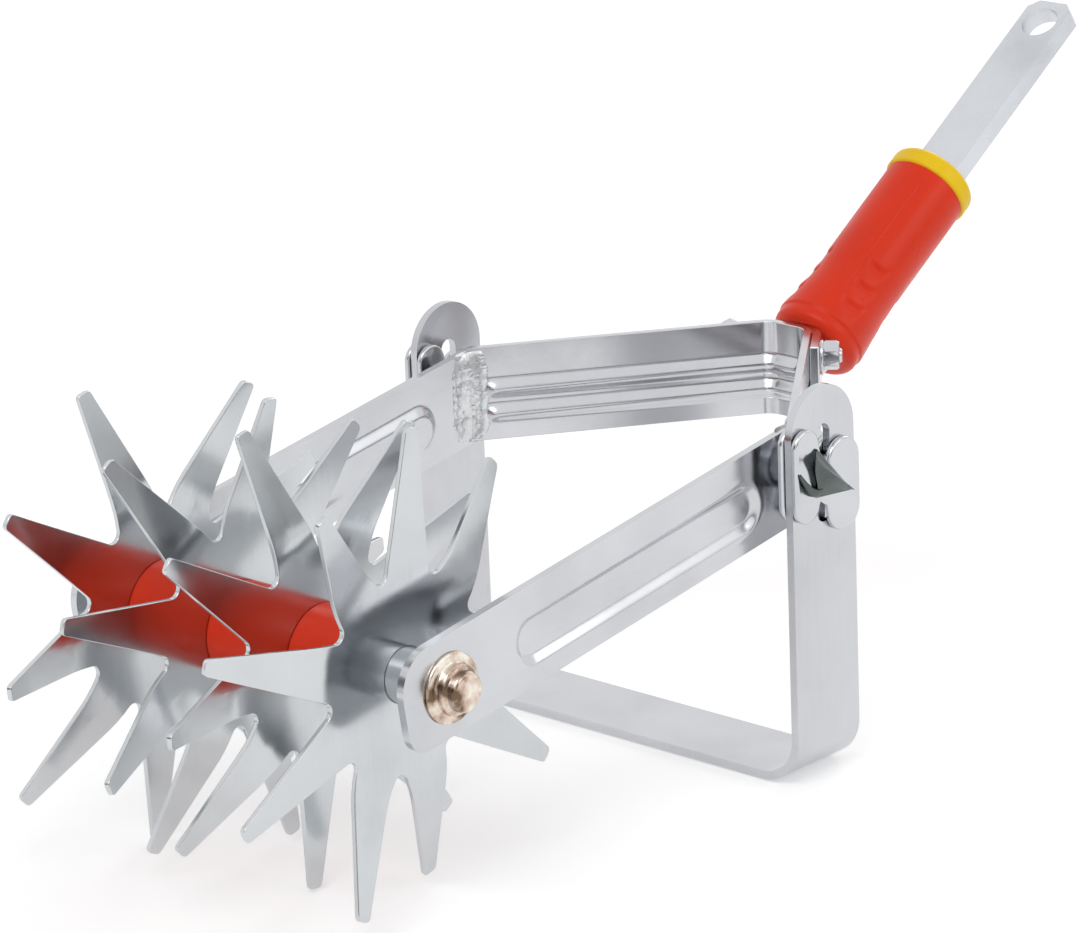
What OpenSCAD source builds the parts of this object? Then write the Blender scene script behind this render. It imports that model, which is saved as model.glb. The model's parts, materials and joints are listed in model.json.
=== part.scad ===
// Rotary hand cultivator head: four toothed stars on one axle, a rocking
// stirrup blade behind them and a sleeved tang for a push-in handle.
// X runs from the stars to the handle, Y along the axle, Z up, in millimetres.

/* [Stirrup blade] */
// Width over the outside of the two stirrup legs
stirrup_width = 150; // [110:1:200]
// Width of the flat strip the stirrup is bent from
strip_width = 28; // [20:1:40]
// Thickness of the stirrup strip
strip_thick = 2.5; // [2:0.1:4]
// Height of the rounded top of the legs above the ground
leg_top = 119.2; // [100:0.2:140]
// Outside radius of the two corner bends
corner_radius = 14; // [8:0.5:20]
// Width of the upright slot in each leg
slot_width = 6.2; // [5:0.1:8]
// Length of the upright slot in each leg
slot_length = 29.5; // [20:0.5:36]
// Height of the rocking axis above the ground
pivot_z = 93; // [80:0.5:105]

/* [Stars] */
// Distance from the rocking axis forward to the axle
axle_ahead = 147.6; // [120:0.2:170]
// Height of the axle above the ground
axle_z = 69; // [60:0.1:80]
// Radius over the tooth tips
star_radius = 69.2; // [50:0.2:85]
// Room between the last star and the arm for its set teeth
side_room = 15.45; // [14:0.05:22]
// Thickness of the star sheet
star_thick = 1.6; // [1:0.1:3]
// Width of a tooth at its tip
tooth_tip = 4.6; // [3:0.1:8]
// Half of the taper of a tooth
tooth_taper = 8.2; // [4:0.1:12]
// Radius of the rounding between two teeth
valley_round = 2.8; // [1.5:0.1:5]
// Radius at which the set teeth are folded
fold_radius = 34; // [30:0.5:45]
// Angle to which the set teeth are folded
fold_angle = 16; // [0:0.5:25]
// Turn of the first and third star
phase_odd = 3.8; // [0:0.1:40]
// Turn of the second and fourth star
phase_even = 24; // [0:0.1:40]
// Diameter of the red spacer tubes
spacer_od = 28; // [20:0.5:45]
// Outside diameter of the hub tube
hub_od = 16; // [13:0.5:20]
// Diameter of the axle rod
axle_d = 10; // [8:0.5:12]

/* [Frame] */
// Gap between an arm and the stirrup leg beside it
arm_to_leg = 7; // [4:0.1:12]
// Thickness of the arm and crossbar sheet
sheet = 2.5; // [2:0.1:4]
// Height of an arm
arm_height = 29.2; // [20:0.2:40]
// Slope of the arms
arm_slope = 8.4; // [0:0.1:20]
// Length of the arm in front of the axle
arm_nose = 18; // [14:0.5:26]
// Width of the groove pressed in an arm
groove_width = 14; // [8:0.5:20]
// Depth of the groove pressed in an arm
groove_depth = 1.8; // [0.5:0.1:2.5]
// Lower edge of the crossbar above the ground
bar_low = 77.2; // [70:0.2:90]
// Height of the crossbar
bar_height = 29.6; // [20:0.2:40]
// Distance from the rocking axis back to the front face of the crossbar nose
nose_behind = 73.9; // [50:0.1:100]
// Width of the flat nose in the middle of the crossbar
nose_width = 13.6; // [8:0.2:24]
// Angle between each half of the crossbar and the row of travel
bar_angle = 36.5; // [20:0.5:60]
// Inside radius of the crossbar bends
bar_round = 6; // [3:0.5:10]
// How far the two ribs of the crossbar stand out
rib_out = 1.8; // [0.5:0.1:3]

/* [Handle socket] */
// Slope of the handle axis above the ground
handle_slope = 33; // [20:0.5:60]
// Distance from the rocking axis back to the foot of the handle axis
handle_behind = 85.3; // [70:0.1:100]
// Height of the foot of the handle axis
handle_foot_z = 97; // [85:0.5:110]
// Width of the flat tang
tang_width = 17; // [12:0.5:25]
// Thickness of the flat tang
tang_thick = 6; // [4:0.5:8]
// Length of the tang beyond the foot of the handle axis
tang_reach = 150; // [110:1:180]
// Diameter of the hole at the end of the tang
tang_hole = 12; // [6:0.5:14]
// Distance from the tang hole to the tang end
hole_to_end = 9; // [7:0.5:15]
// Diameter of the red sleeve
sleeve_d = 26.8; // [22:0.2:34]
// Distance from the foot of the axis to the yellow collar
sleeve_top = 67.4; // [50:0.2:90]
// Length of the yellow collar
collar_length = 6.7; // [4:0.1:12]

/* [Hidden] */
$fn = 96;
// Shift that puts the middle of the whole piece over the origin
pivot_x = 1.43;
axle_x = pivot_x - axle_ahead;
nose_x = pivot_x + nose_behind;
handle_x = pivot_x + handle_behind;
// Radial running fit of the hub tube on the axle rod
run_fit = 0.08;
// Snug fit of pieces that stay together
snug = 0.02;
// Gap between pieces that move past each other
pass_gap = 0.3;
leg_in = stirrup_width/2 - strip_thick;
arm_out = leg_in - arm_to_leg;
arm_in = arm_out - sheet;
// The four stars stand evenly between the arms
star_pitch = (arm_in - side_room)/1.5;
// Thickness of the two clip plates and where their inner faces stand
plate_thick = 2;
plate_in = leg_in - pass_gap - plate_thick;
plate_out = stirrup_width/2 + pass_gap;

// Toothed stars, cut from sheet and set in a repeating row of three
teeth = 9;
half_pitch = 180/teeth;
// Half width of a tooth at a given radius
function tooth_half(r) = tooth_tip/2 + (star_radius - r)*tan(tooth_taper);
// Where the edges of two neighbouring teeth would cross
cross_radius = (tooth_tip/2 + star_radius*tan(tooth_taper))
    / (sin(half_pitch) + cos(half_pitch)*tan(tooth_taper));
valley_centre = cross_radius + valley_round/sin(half_pitch + tooth_taper);
// Radius of the points where the rounding meets the tooth edges
valley_along = valley_centre - valley_round*sin(half_pitch + tooth_taper);
valley_aside = valley_round*cos(half_pitch + tooth_taper);
disc_radius = sqrt(valley_along*valley_along + valley_aside*valley_aside);
tip_cut = 1;
// How far the roots of the teeth stay clear of the hub tube
root_clear = 4;
// The rounding bites this much into the tooth edges
valley_over = 0.2;

module straight_tooth() {
    foot = hub_od/2 + root_clear;
    shoulder = star_radius - tip_cut;
    linear_extrude(height = star_thick, center = true)
        polygon([
            [foot, -tooth_half(foot)],
            [shoulder, -tooth_half(shoulder)],
            [star_radius, -tooth_half(star_radius) + tip_cut],
            [star_radius, tooth_half(star_radius) - tip_cut],
            [shoulder, tooth_half(shoulder)],
            [foot, tooth_half(foot)]
        ]);
}

// Side view of a folded tooth: flat to the fold, then leaning to one side
module folded_strip() {
    half = star_thick/2;
    mitre = half*tan(fold_angle/2);
    rise = star_radius - fold_radius + 2*tip_cut;
    linear_extrude(height = 4*star_thick + tooth_half(0), center = true)
        polygon([
            [hub_od/2 + root_clear, -half],
            [fold_radius + mitre, -half],
            [fold_radius + rise*cos(fold_angle) + half*sin(fold_angle),
                rise*sin(fold_angle) - half*cos(fold_angle)],
            [fold_radius + rise*cos(fold_angle) - half*sin(fold_angle),
                rise*sin(fold_angle) + half*cos(fold_angle)],
            [fold_radius - mitre, half],
            [hub_od/2 + root_clear, half]
        ]);
}
function folded(r) = fold_radius + (r - fold_radius)*cos(fold_angle);
module set_tooth(way) {
    intersection() {
        rotate([-90*way, 0, 0])
            folded_strip();
        linear_extrude(height = star_radius, center = true)
            polygon([
                [hub_od/2 + root_clear/2, -tooth_half(hub_od/2 + root_clear/2)],
                [fold_radius, -tooth_half(fold_radius)],
                [folded(star_radius - tip_cut), -tooth_half(star_radius - tip_cut)],
                [folded(star_radius), -tooth_half(star_radius) + tip_cut],
                [folded(star_radius), tooth_half(star_radius) - tip_cut],
                [folded(star_radius - tip_cut), tooth_half(star_radius - tip_cut)],
                [fold_radius, tooth_half(fold_radius)],
                [hub_od/2 + root_clear/2, tooth_half(hub_od/2 + root_clear/2)]
            ]);
    }
}

// The set of each tooth repeats: out, straight, in
module star_blank(first) {
    difference() {
        union() {
            cylinder(h = star_thick, r = disc_radius, center = true);
            for (k = [0 : teeth - 1]) {
                way = 1 - (k + first) % 3;
                rotate([0, 0, k*360/teeth]) {
                    if (way == 0)
                        straight_tooth();
                    else
                        set_tooth(way);
                }
            }
        }
        for (k = [0 : teeth - 1])
            rotate([0, 0, (k + 0.5)*360/teeth])
                translate([valley_centre, 0, 0])
                    cylinder(h = 2*star_thick, r = valley_round + valley_over, center = true);
        cylinder(h = 2*star_thick, r = hub_od/2 + snug, center = true);
    }
}

module star(number, phase, first) {
    translate([axle_x, star_pitch*(number - 2.5), axle_z])
        rotate([90, 0, 0])
            rotate([0, 0, phase])
                star_blank(first);
}

module star_1() { color([0.78, 0.80, 0.83]) star(1, phase_odd, 2); }
module star_2() { color([0.78, 0.80, 0.83]) star(2, phase_even, 1); }
module star_3() { color([0.78, 0.80, 0.83]) star(3, phase_odd, 0); }
module star_4() { color([0.78, 0.80, 0.83]) star(4, phase_even, 1); }

// A tube or rod lying along the axle
module along_axle(from, to, r) {
    translate([axle_x, from, axle_z])
        rotate([-90, 0, 0])
            cylinder(h = to - from, r = r);
}

module spacer(place) {
    span = star_pitch - star_thick;
    difference() {
        along_axle(place - span/2, place + span/2, spacer_od/2);
        along_axle(place - span, place + span, hub_od/2 + snug);
    }
}
module spacer_near() { color([0.83, 0.13, 0.09]) spacer(-star_pitch); }
module spacer_mid() { color([0.83, 0.13, 0.09]) spacer(0); }
module spacer_far() { color([0.83, 0.13, 0.09]) spacer(star_pitch); }

// Steel tube that carries the stars and runs on the fixed axle rod
module hub_tube() {
    reach = arm_in - pass_gap;
    color([0.55, 0.57, 0.60])
        difference() {
            along_axle(-reach, reach, hub_od/2);
            along_axle(-arm_in, arm_in, axle_d/2 + run_fit);
        }
}

cap_high = 7;
cap_wall = 0.9;
cap_chamfer = 0.6;
rod_reach = arm_out + cap_high - cap_wall - snug;
module axle_rod() {
    color([0.70, 0.72, 0.75])
        along_axle(-rod_reach, rod_reach, axle_d/2);
}

// Stepped push-on cap that keeps the rod in the arm
flange_d = 20.6;
flange_thick = 1.1;
step_d = 14.6;
step_high = 3.6;
cap_d = axle_d + 2*cap_wall;
module axle_cap() {
    difference() {
        union() {
            cylinder(h = flange_thick, d = flange_d);
            cylinder(h = step_high, d = step_d);
            cylinder(h = cap_high - cap_chamfer, d = cap_d);
            translate([0, 0, cap_high - cap_chamfer])
                cylinder(h = cap_chamfer, d1 = cap_d, d2 = cap_d - 2*cap_chamfer);
        }
        translate([0, 0, -1])
            cylinder(h = cap_high - cap_wall + 1, r = axle_d/2 + snug);
    }
}
module axle_cap_near() {
    color([0.80, 0.66, 0.55])
        translate([axle_x, -arm_out, axle_z])
            rotate([90, 0, 0])
                axle_cap();
}
module axle_cap_far() {
    color([0.80, 0.66, 0.55])
        translate([axle_x, arm_out, axle_z])
            rotate([-90, 0, 0])
                axle_cap();
}

// Crossbar, bent from sheet to a blunt V with two ribs pressed along it
bar_end_y = arm_in;
bend_turn = 90 - bar_angle;
bend_set = bar_round*tan(bend_turn/2);
flat_half = nose_width/2 - bend_set;
// Where the front face of a straight half meets the inside of an arm
corner_along = (bar_end_y - flat_half - bar_round*sin(bend_turn))/sin(bar_angle);
corner_x = nose_x - bar_round*(1 - cos(bend_turn)) - corner_along*cos(bar_angle);
// Each half runs this far past the corner and is cut off on the arm
bar_over = 11;
bar_long = corner_along + bar_over;
bar_high = bar_low + bar_height;
// Middle of the two ribs above the lower edge
rib_up = [8.4, 16.2];
rib_z = [bar_low + rib_up[0], bar_low + rib_up[1]];
rib_half = 3.5;
rib_back_half = 2.4;
rib_back_deep = 1.4;
rib_steps = 8;
// Length of the weld along the crossbar and along the arm
weld_run = 5.3;
weld_leg = 6;
// The ribs fade out over a short length beside the weld
rib_fade = 4;
rib_long = corner_along - weld_run - pass_gap;
// One rib or groove in the outline, as points from its foot to its foot
function swell(z, half, out, way) = [
    for (i = [0 : rib_steps])
        let (t = way*(2*i/rib_steps - 1))
            [out*(1 - t*t), z + half*t]
];
// Outline of the ribbed sheet: depth through the sheet, then height
function ribbed(at, way) = [
    for (p = concat(
        [[0, bar_low]],
        swell(rib_z[0], rib_half, -rib_out, 1),
        swell(rib_z[1], rib_half, -rib_out, 1),
        [[0, bar_high], [sheet, bar_high]],
        swell(rib_z[1], rib_back_half, -rib_back_deep, -1) + [for (i = [0 : rib_steps]) [sheet, 0]],
        swell(rib_z[0], rib_back_half, -rib_back_deep, -1) + [for (i = [0 : rib_steps]) [sheet, 0]],
        [[sheet, bar_low]]
    )) [at + way*p[0], p[1]]
];

// One straight half in its own frame: x along the half, y through the sheet
module in_half(side) {
    mirror([0, side < 0 ? 1 : 0, 0])
        translate([nose_x - bar_round, flat_half, 0])
            rotate([0, 0, bend_turn])
                translate([bar_round, 0, 0])
                    rotate([0, 0, 90])
                        children();
}
// One bend in its own frame, turning about the upright axis
module in_bend(side) {
    mirror([0, side < 0 ? 1 : 0, 0])
        translate([nose_x - bar_round, flat_half, 0])
            children();
}
// Studs on the back of the crossbar, counted from the bend and from the upper edge
stud_down = 5.6;
stud_along = 7;
stud_d = 5;
module stud_frame(side) {
    in_half(side)
        translate([stud_along, 0, bar_high - stud_down])
            rotate([90, 0, 0])
                children();
}
// Everything outside the inner faces of the two arms
module beyond_arms() {
    for (side = [-1, 1])
        translate([pivot_x, side*(bar_end_y + arm_out), bar_low])
            cube([4*arm_out, 2*arm_out, 4*bar_height], center = true);
}
module ribbed_run() {
    for (side = [-1, 1]) {
        in_half(side)
            difference() {
                rotate([90, 0, 90])
                    linear_extrude(height = rib_long)
                        polygon(ribbed(0, -1));
                translate([rib_long, 0, bar_low])
                    rotate([0, 0, 180 - atan(rib_out/rib_fade)])
                        translate([-rib_fade, -2*rib_fade, -bar_height])
                            cube([4*rib_fade, 2*rib_fade, 3*bar_height]);
            }
        in_bend(side)
            rotate_extrude(angle = bend_turn)
                polygon(ribbed(bar_round, 1));
    }
    translate([nose_x, flat_half, 0])
        rotate([90, 0, 0])
            linear_extrude(height = 2*flat_half)
                polygon(ribbed(0, 1));
}
module crossbar() {
    color([0.76, 0.78, 0.82])
        difference() {
            union() {
                ribbed_run();
                for (side = [-1, 1])
                    in_half(side)
                        translate([rib_long, -sheet, bar_low])
                            cube([bar_long - rib_long, sheet, bar_height]);
            }
            beyond_arms();
        }
}

// Weld in the corner between the front of the crossbar and an arm
weld_inset = 0.8;
weld_high = 3;
module weld() {
    in_half(-1)
        translate([corner_along, 0, bar_low + weld_inset])
            linear_extrude(height = bar_height - 2*weld_inset)
                polygon([
                    [0, 0],
                    [-weld_run, 0],
                    [-0.9*weld_run, weld_high/3],
                    [-weld_run/2, 0.7*weld_high],
                    [0, weld_high],
                    [0.78*weld_leg*cos(bar_angle), 1.1*weld_leg*sin(bar_angle)],
                    [weld_leg*cos(bar_angle), weld_leg*sin(bar_angle)]
                ]);
}
module weld_near() { color([0.62, 0.63, 0.60]) weld(); }
module weld_far() { color([0.62, 0.63, 0.60]) mirror([0, 1, 0]) weld(); }

// Arms, drawn for the near side and turned over for the far side.
// Their own frame has its origin on the axle and runs up the slope.
arm_long = axle_ahead/cos(arm_slope);
// Upper and lower rounding of the front end
nose_top = 12;
nose_low = 7;
// Height of the middle of the arm above the axle
arm_rise = 0.6;
module arm_outline(wide) {
    h = arm_height/2;
    for (corner = [[nose_top, h - nose_top], [nose_low, nose_low - h]])
        translate([corner[0] - arm_nose, 0, corner[1]])
            rotate([90, 0, 0])
                cylinder(h = wide, r = corner[0], center = true);
    translate([-arm_nose, -wide/2, nose_low - h])
        cube([nose_top, wide, arm_height - nose_top - nose_low]);
    translate([nose_low - arm_nose, -wide/2, -h])
        cube([nose_top - nose_low, wide, arm_height - nose_top]);
    translate([nose_top - arm_nose, -wide/2, -h])
        cube([arm_nose - nose_top + arm_long, wide, arm_height]);
    translate([arm_long, 0, 0])
        rotate([90, 0, 0])
            cylinder(h = wide, r = h, center = true);
}
// A round-ended bar along the arm, for the groove outside and the ridge inside
groove_from = 35;
groove_drop = 1.4;
// The groove stays this far from the rocking axis and this far from the weld
groove_back = 17.8;
groove_clear = 9;
weld_from = (corner_x - weld_leg - axle_x)/cos(arm_slope);
groove_to = min(arm_long - groove_back, weld_from - groove_clear);
// Half of the difference in width between the ridge and the groove
groove_side = 1;
module groove_bar(width, y_low, y_high) {
    ends = [groove_from, groove_to - groove_width/2];
    translate([0, y_low, -groove_drop]) {
        for (x = ends)
            translate([x, 0, 0])
                rotate([-90, 0, 0])
                    cylinder(h = y_high - y_low, d = width);
        translate([ends[0], 0, -width/2])
            cube([ends[1] - ends[0], y_high - y_low, width]);
    }
}
module arm() {
    translate([axle_x, 0, axle_z])
        rotate([0, -arm_slope, 0])
            difference() {
                translate([0, 0, arm_rise]) {
                    translate([0, sheet/2 - arm_out, 0])
                        arm_outline(sheet);
                    groove_bar(groove_width + 2*groove_side, -arm_out, groove_depth - arm_in);
                }
                translate([0, 0, arm_rise])
                    groove_bar(groove_width - 2*groove_side, -2*arm_out, groove_depth - arm_out);
                rotate([90, 0, 0])
                    cylinder(h = 4*arm_out, r = axle_d/2 + snug, center = true);
            }
}
module arm_near() { color([0.76, 0.78, 0.82]) arm(); }
module arm_far() { color([0.76, 0.78, 0.82]) mirror([0, 1, 0]) arm(); }

// Retaining clips: a boss on the arm and two lobed plates joined through the slot of
// the leg. Each plate has a narrow front lobe and a wide rear lobe on a bridge that
// slants down to the rear.
lobe_height = 28;
front_lobe_d = 10.8;
rear_lobe_d = 14;
lobe_aside = 8.7;
bridge_height = 13;
clip_slant = 20;
// Middle of the clip, counted from the rocking axis
clip_at = [-1.3, -1.6];
boss_d = 16;
neck_d = slot_width - pass_gap - 0.1;
web_thick = 2.4;
web_height = slot_length - 3.5;
module lobe(x, z, d) {
    translate([x, 0, z])
        rotate([90, 0, 0]) {
            for (end = [-1, 1])
                translate([0, end*(lobe_height - d)/2, 0])
                    cylinder(h = plate_thick, d = d);
            translate([-d/2, (d - lobe_height)/2, 0])
                cube([d, lobe_height - d, plate_thick]);
        }
}
module lobed_plate() {
    aside = lobe_aside*cos(clip_slant);
    drop = lobe_aside*sin(clip_slant);
    lobe(clip_at[0] - aside, clip_at[1] + drop, front_lobe_d);
    lobe(clip_at[0] + aside, clip_at[1] - drop, rear_lobe_d);
    translate([clip_at[0], 0, clip_at[1]])
        rotate([0, clip_slant, 0])
            translate([-lobe_aside, -plate_thick, -bridge_height/2])
                cube([2*lobe_aside, plate_thick, bridge_height]);
}
// Tongue twisted over the outer plate, with its two horns
tongue_d = 9;
tongue_high = 3;
horn_length = 12.4;
horn_thick = 2.6;
horn_high = 2.2;
module tongue() {
    translate([clip_at[0], -plate_out - plate_thick, clip_at[1]])
        rotate([90, 0, 0]) {
            cylinder(h = tongue_high, d = tongue_d);
            rotate([0, 0, -clip_slant])
                translate([-horn_length, -horn_thick/2, 0])
                    cube([2*horn_length, horn_thick, horn_high]);
        }
}
module pivot_clip() {
    neck_long = plate_out - plate_in + plate_thick/2;
    translate([pivot_x, 0, pivot_z]) {
        translate([0, -plate_in, 0])
            lobed_plate();
        translate([0, -plate_out, 0])
            lobed_plate();
        tongue();
        translate([0, -arm_out, 0])
            rotate([90, 0, 0])
                cylinder(h = plate_in - arm_out + plate_thick/2, d = boss_d);
        translate([0, -plate_in, 0])
            rotate([90, 0, 0]) {
                cylinder(h = neck_long, d = neck_d);
                translate([-web_thick/2, -web_height/2, 0])
                    cube([web_thick, web_height, neck_long]);
            }
    }
}
module pivot_clip_near() { color([0.70, 0.73, 0.75]) pivot_clip(); }
module pivot_clip_far() { color([0.70, 0.73, 0.75]) mirror([0, 1, 0]) pivot_clip(); }

// Stirrup: one flat strip bent to a U, with a rounded top on each leg
module stirrup_leg() {
    half = strip_width/2;
    straight = leg_top - half;
    difference() {
        union() {
            translate([-half, -stirrup_width/2, corner_radius])
                cube([strip_width, strip_thick, straight - corner_radius]);
            translate([0, -leg_in, straight])
                rotate([90, 0, 0])
                    cylinder(h = strip_thick, r = half);
        }
        for (end = [-1, 1])
            translate([0, -leg_in + 1, pivot_z + end*(slot_length - slot_width)/2])
                rotate([90, 0, 0])
                    cylinder(h = strip_thick + 2, d = slot_width);
        translate([-slot_width/2, -stirrup_width/2 - 1, pivot_z - (slot_length - slot_width)/2])
            cube([slot_width, strip_thick + 2, slot_length - slot_width]);
    }
}
module stirrup_corner() {
    translate([0, -stirrup_width/2 + corner_radius, corner_radius])
        rotate([0, 90, 0])
            rotate([0, 0, -90])
                rotate_extrude(angle = 90)
                    translate([corner_radius - strip_thick, -strip_width/2])
                        square([strip_thick, strip_width]);
}
module stirrup() {
    color([0.78, 0.80, 0.83])
        translate([pivot_x, 0, 0]) {
            for (side = [0, 1])
                mirror([0, side, 0]) {
                    stirrup_leg();
                    stirrup_corner();
                }
            translate([-strip_width/2, -stirrup_width/2 + corner_radius, 0])
                cube([strip_width, stirrup_width - 2*corner_radius, strip_thick]);
        }
}

// Foot plate behind the nose of the crossbar, held on a stud of each half
foot_thick = 3;
foot_low = bar_low + 2;
foot_high = bar_high - 0.8;
foot_wing = 14.5;
foot_back = nose_x + sheet + foot_thick;
arc_steps = 10;
// Plan of one edge of the foot plate at a given depth, from wing to wing:
// the end of a wing, the arc of a bend, the other bend and the other wing
function nose_arc(side, depth, turn) = [
    nose_x - bar_round + (bar_round + depth)*cos(turn),
    side*(flat_half + (bar_round + depth)*sin(turn))
];
function half_edge(side, depth) = concat(
    [for (i = [0 : arc_steps]) nose_arc(side, depth, bend_turn*i/arc_steps)],
    [nose_arc(side, depth, bend_turn) + foot_wing*[-cos(bar_angle), side*sin(bar_angle)]]
);
function turned(points) = [for (i = [len(points) - 1 : -1 : 0]) points[i]];
function foot_edge(depth) = concat(turned(half_edge(-1, depth)), half_edge(1, depth));
module handle_foot() {
    color([0.74, 0.76, 0.80])
        difference() {
            translate([0, 0, foot_low])
                linear_extrude(height = foot_high - foot_low)
                    polygon(concat(foot_edge(sheet), turned(foot_edge(sheet + foot_thick))));
            for (side = [-1, 1])
                stud_frame(side)
                    translate([0, 0, sheet - stud_d])
                        cylinder(h = foot_thick + 2*stud_d, r = stud_d/2 + snug);
        }
}
washer_high = 1;
washer_d = 9.6;
nut_high = 4.7;
nut_flats = 8;
// Diameter over the chamfered corners at the foot and at the top of a nut
nut_foot_d = 13;
nut_top_d = 8.4;
// How far a stud stands out of its nut
stud_over = 0.9;
stud_long = foot_thick + washer_high + nut_high + stud_over;
module foot_studs() {
    color([0.72, 0.74, 0.78])
        for (side = [-1, 1])
            stud_frame(side)
                translate([0, 0, sheet])
                    cylinder(h = stud_long, d = stud_d);
}
module foot_washers() {
    color([0.72, 0.74, 0.78])
        for (side = [-1, 1])
            stud_frame(side)
                translate([0, 0, sheet + foot_thick])
                    difference() {
                        cylinder(h = washer_high, d = washer_d);
                        translate([0, 0, -washer_high])
                            cylinder(h = 3*washer_high, r = stud_d/2 + snug);
                    }
}
module foot_nuts() {
    color([0.80, 0.82, 0.85])
        for (side = [-1, 1])
            stud_frame(side)
                translate([0, 0, sheet + foot_thick + washer_high])
                    difference() {
                        intersection() {
                            linear_extrude(height = nut_high)
                                polygon([for (k = [0 : 5])
                                    nut_flats/sqrt(3)*[cos(60*k), sin(60*k)]]);
                            cylinder(h = nut_high, d1 = nut_foot_d, d2 = nut_top_d);
                        }
                        translate([0, 0, -washer_high])
                            cylinder(h = nut_high + 2*washer_high, r = stud_d/2 + snug);
                    }
}

// Flat tang, cut off square on the back of the foot plate
tang_chamfer = 3.2;
// The bar is drawn this much longer in front and cut off on the foot plate
tang_spare = 16;
module on_handle() {
    translate([handle_x, 0, handle_foot_z])
        rotate([0, -handle_slope, 0])
            children();
}
module tang_bar(extra) {
    half = tang_width/2 + extra;
    on_handle()
        translate([0, 0, -tang_thick/2 - extra])
            linear_extrude(height = tang_thick + 2*extra)
                polygon([
                    [-tang_spare, -half],
                    [tang_reach - tang_chamfer, -half],
                    [tang_reach, -half + tang_chamfer],
                    [tang_reach, half - tang_chamfer],
                    [tang_reach - tang_chamfer, half],
                    [-tang_spare, half]
                ]);
}
module before_foot() {
    translate([foot_back - 4*tang_spare, -2*tang_width, 0])
        cube([4*tang_spare, 4*tang_width, 2*handle_foot_z]);
}
module tang() {
    color([0.78, 0.80, 0.83])
        difference() {
            tang_bar(0);
            before_foot();
            on_handle()
                translate([tang_reach - hole_to_end, 0, 0])
                    cylinder(h = 2*tang_thick, d = tang_hole, center = true);
        }
}
// Weld beads above and below the tang on the foot plate
bead_d = 4;
bead_sink = 1.7;
// Height at which the middle of the tang meets the foot plate
tang_meets = handle_foot_z - (handle_x - foot_back)*tan(handle_slope);
module foot_weld() {
    aside = tang_thick/2/cos(handle_slope);
    color([0.60, 0.61, 0.60])
        difference() {
            for (z = [tang_meets - aside, tang_meets + aside])
                translate([foot_back + bead_d/2 - bead_sink, 0, z])
                    rotate([90, 0, 0])
                        cylinder(h = flat_half*2 + 2, d = bead_d, center = true);
            tang_bar(0);
            before_foot();
        }
}

// Red sleeve, a little wider at its lower end, with three finger dents on each side
sleeve_from = 0;
end_round = 3;
end_inset = 4.4;
flare_to = 26;
flare_out = 1.2;
dent_at = [12.5, 20.5, 28.5];
dent_round = 9;
dent_deep = 1.1;
function sleeve_at(x) = sleeve_d/2 + flare_out*max(0, 1 - x/flare_to);
module sleeve() {
    r = sleeve_d/2;
    wide = sleeve_at(end_round);
    color([0.86, 0.14, 0.09])
        difference() {
            on_handle()
                rotate([0, 90, 0]) {
                    translate([0, 0, flare_to])
                        cylinder(h = sleeve_top - flare_to, r = r);
                    translate([0, 0, end_round])
                        cylinder(h = flare_to - end_round, r1 = wide, r2 = r);
                    translate([0, 0, sleeve_from])
                        cylinder(h = end_round, r1 = wide - end_inset, r2 = wide);
                }
            on_handle()
                for (side = [-1, 1])
                    for (x = dent_at)
                        translate([x, side*(sleeve_at(x) + dent_round - dent_deep), 0])
                            cylinder(h = 2*r, r = dent_round, center = true);
            tang_bar(snug);
        }
}
collar_out = 0.7;
collar_chamfer = 1.2;
module collar() {
    d = sleeve_d + 2*collar_out;
    color([0.98, 0.78, 0.08])
        difference() {
            on_handle()
                rotate([0, 90, 0])
                    translate([0, 0, sleeve_top]) {
                        cylinder(h = collar_length - collar_chamfer, d = d);
                        translate([0, 0, collar_length - collar_chamfer])
                            cylinder(h = collar_chamfer, d1 = d, d2 = d - 2*collar_chamfer);
                    }
            tang_bar(snug);
        }
}

star_1();
star_2();
star_3();
star_4();
spacer_near();
spacer_mid();
spacer_far();
hub_tube();
axle_rod();
axle_cap_near();
axle_cap_far();
arm_near();
arm_far();
crossbar();
weld_near();
weld_far();
pivot_clip_near();
pivot_clip_far();
stirrup();
handle_foot();
foot_studs();
foot_washers();
foot_nuts();
foot_weld();
tang();
sleeve();
collar();
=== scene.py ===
# %% [markdown]
# Rotary hand cultivator head, dressed around its construction model.
# The construction model fixes every size and every joint. This notebook gives each
# piece the look of the real one: pressed and plated sheet steel, turned caps, weld
# metal and moulded plastic. All lengths are in metres and +X runs from the stars to
# the handle, +Y along the axle and +Z up.

# %% Load the construction model
import bpy
import bmesh
import json
import math
from mathutils import Matrix, Vector, noise


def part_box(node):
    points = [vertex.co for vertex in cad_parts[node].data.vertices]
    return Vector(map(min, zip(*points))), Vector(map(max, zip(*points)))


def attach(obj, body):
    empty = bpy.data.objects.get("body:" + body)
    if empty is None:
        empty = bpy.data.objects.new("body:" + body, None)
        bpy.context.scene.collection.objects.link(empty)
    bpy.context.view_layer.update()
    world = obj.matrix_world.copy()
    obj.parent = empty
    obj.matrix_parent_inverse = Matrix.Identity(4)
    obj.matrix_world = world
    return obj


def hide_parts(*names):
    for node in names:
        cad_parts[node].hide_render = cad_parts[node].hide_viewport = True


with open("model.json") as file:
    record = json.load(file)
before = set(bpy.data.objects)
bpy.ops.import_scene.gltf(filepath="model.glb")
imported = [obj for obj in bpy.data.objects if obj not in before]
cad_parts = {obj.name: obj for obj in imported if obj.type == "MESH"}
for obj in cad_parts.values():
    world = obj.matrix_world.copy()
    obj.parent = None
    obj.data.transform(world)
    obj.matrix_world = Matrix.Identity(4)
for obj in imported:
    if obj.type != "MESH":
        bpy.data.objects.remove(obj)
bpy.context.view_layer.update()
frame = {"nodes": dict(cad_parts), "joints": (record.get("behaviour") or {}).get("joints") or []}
MM = 0.001
print("nodes in the construction model:", len(frame["nodes"]))

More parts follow.
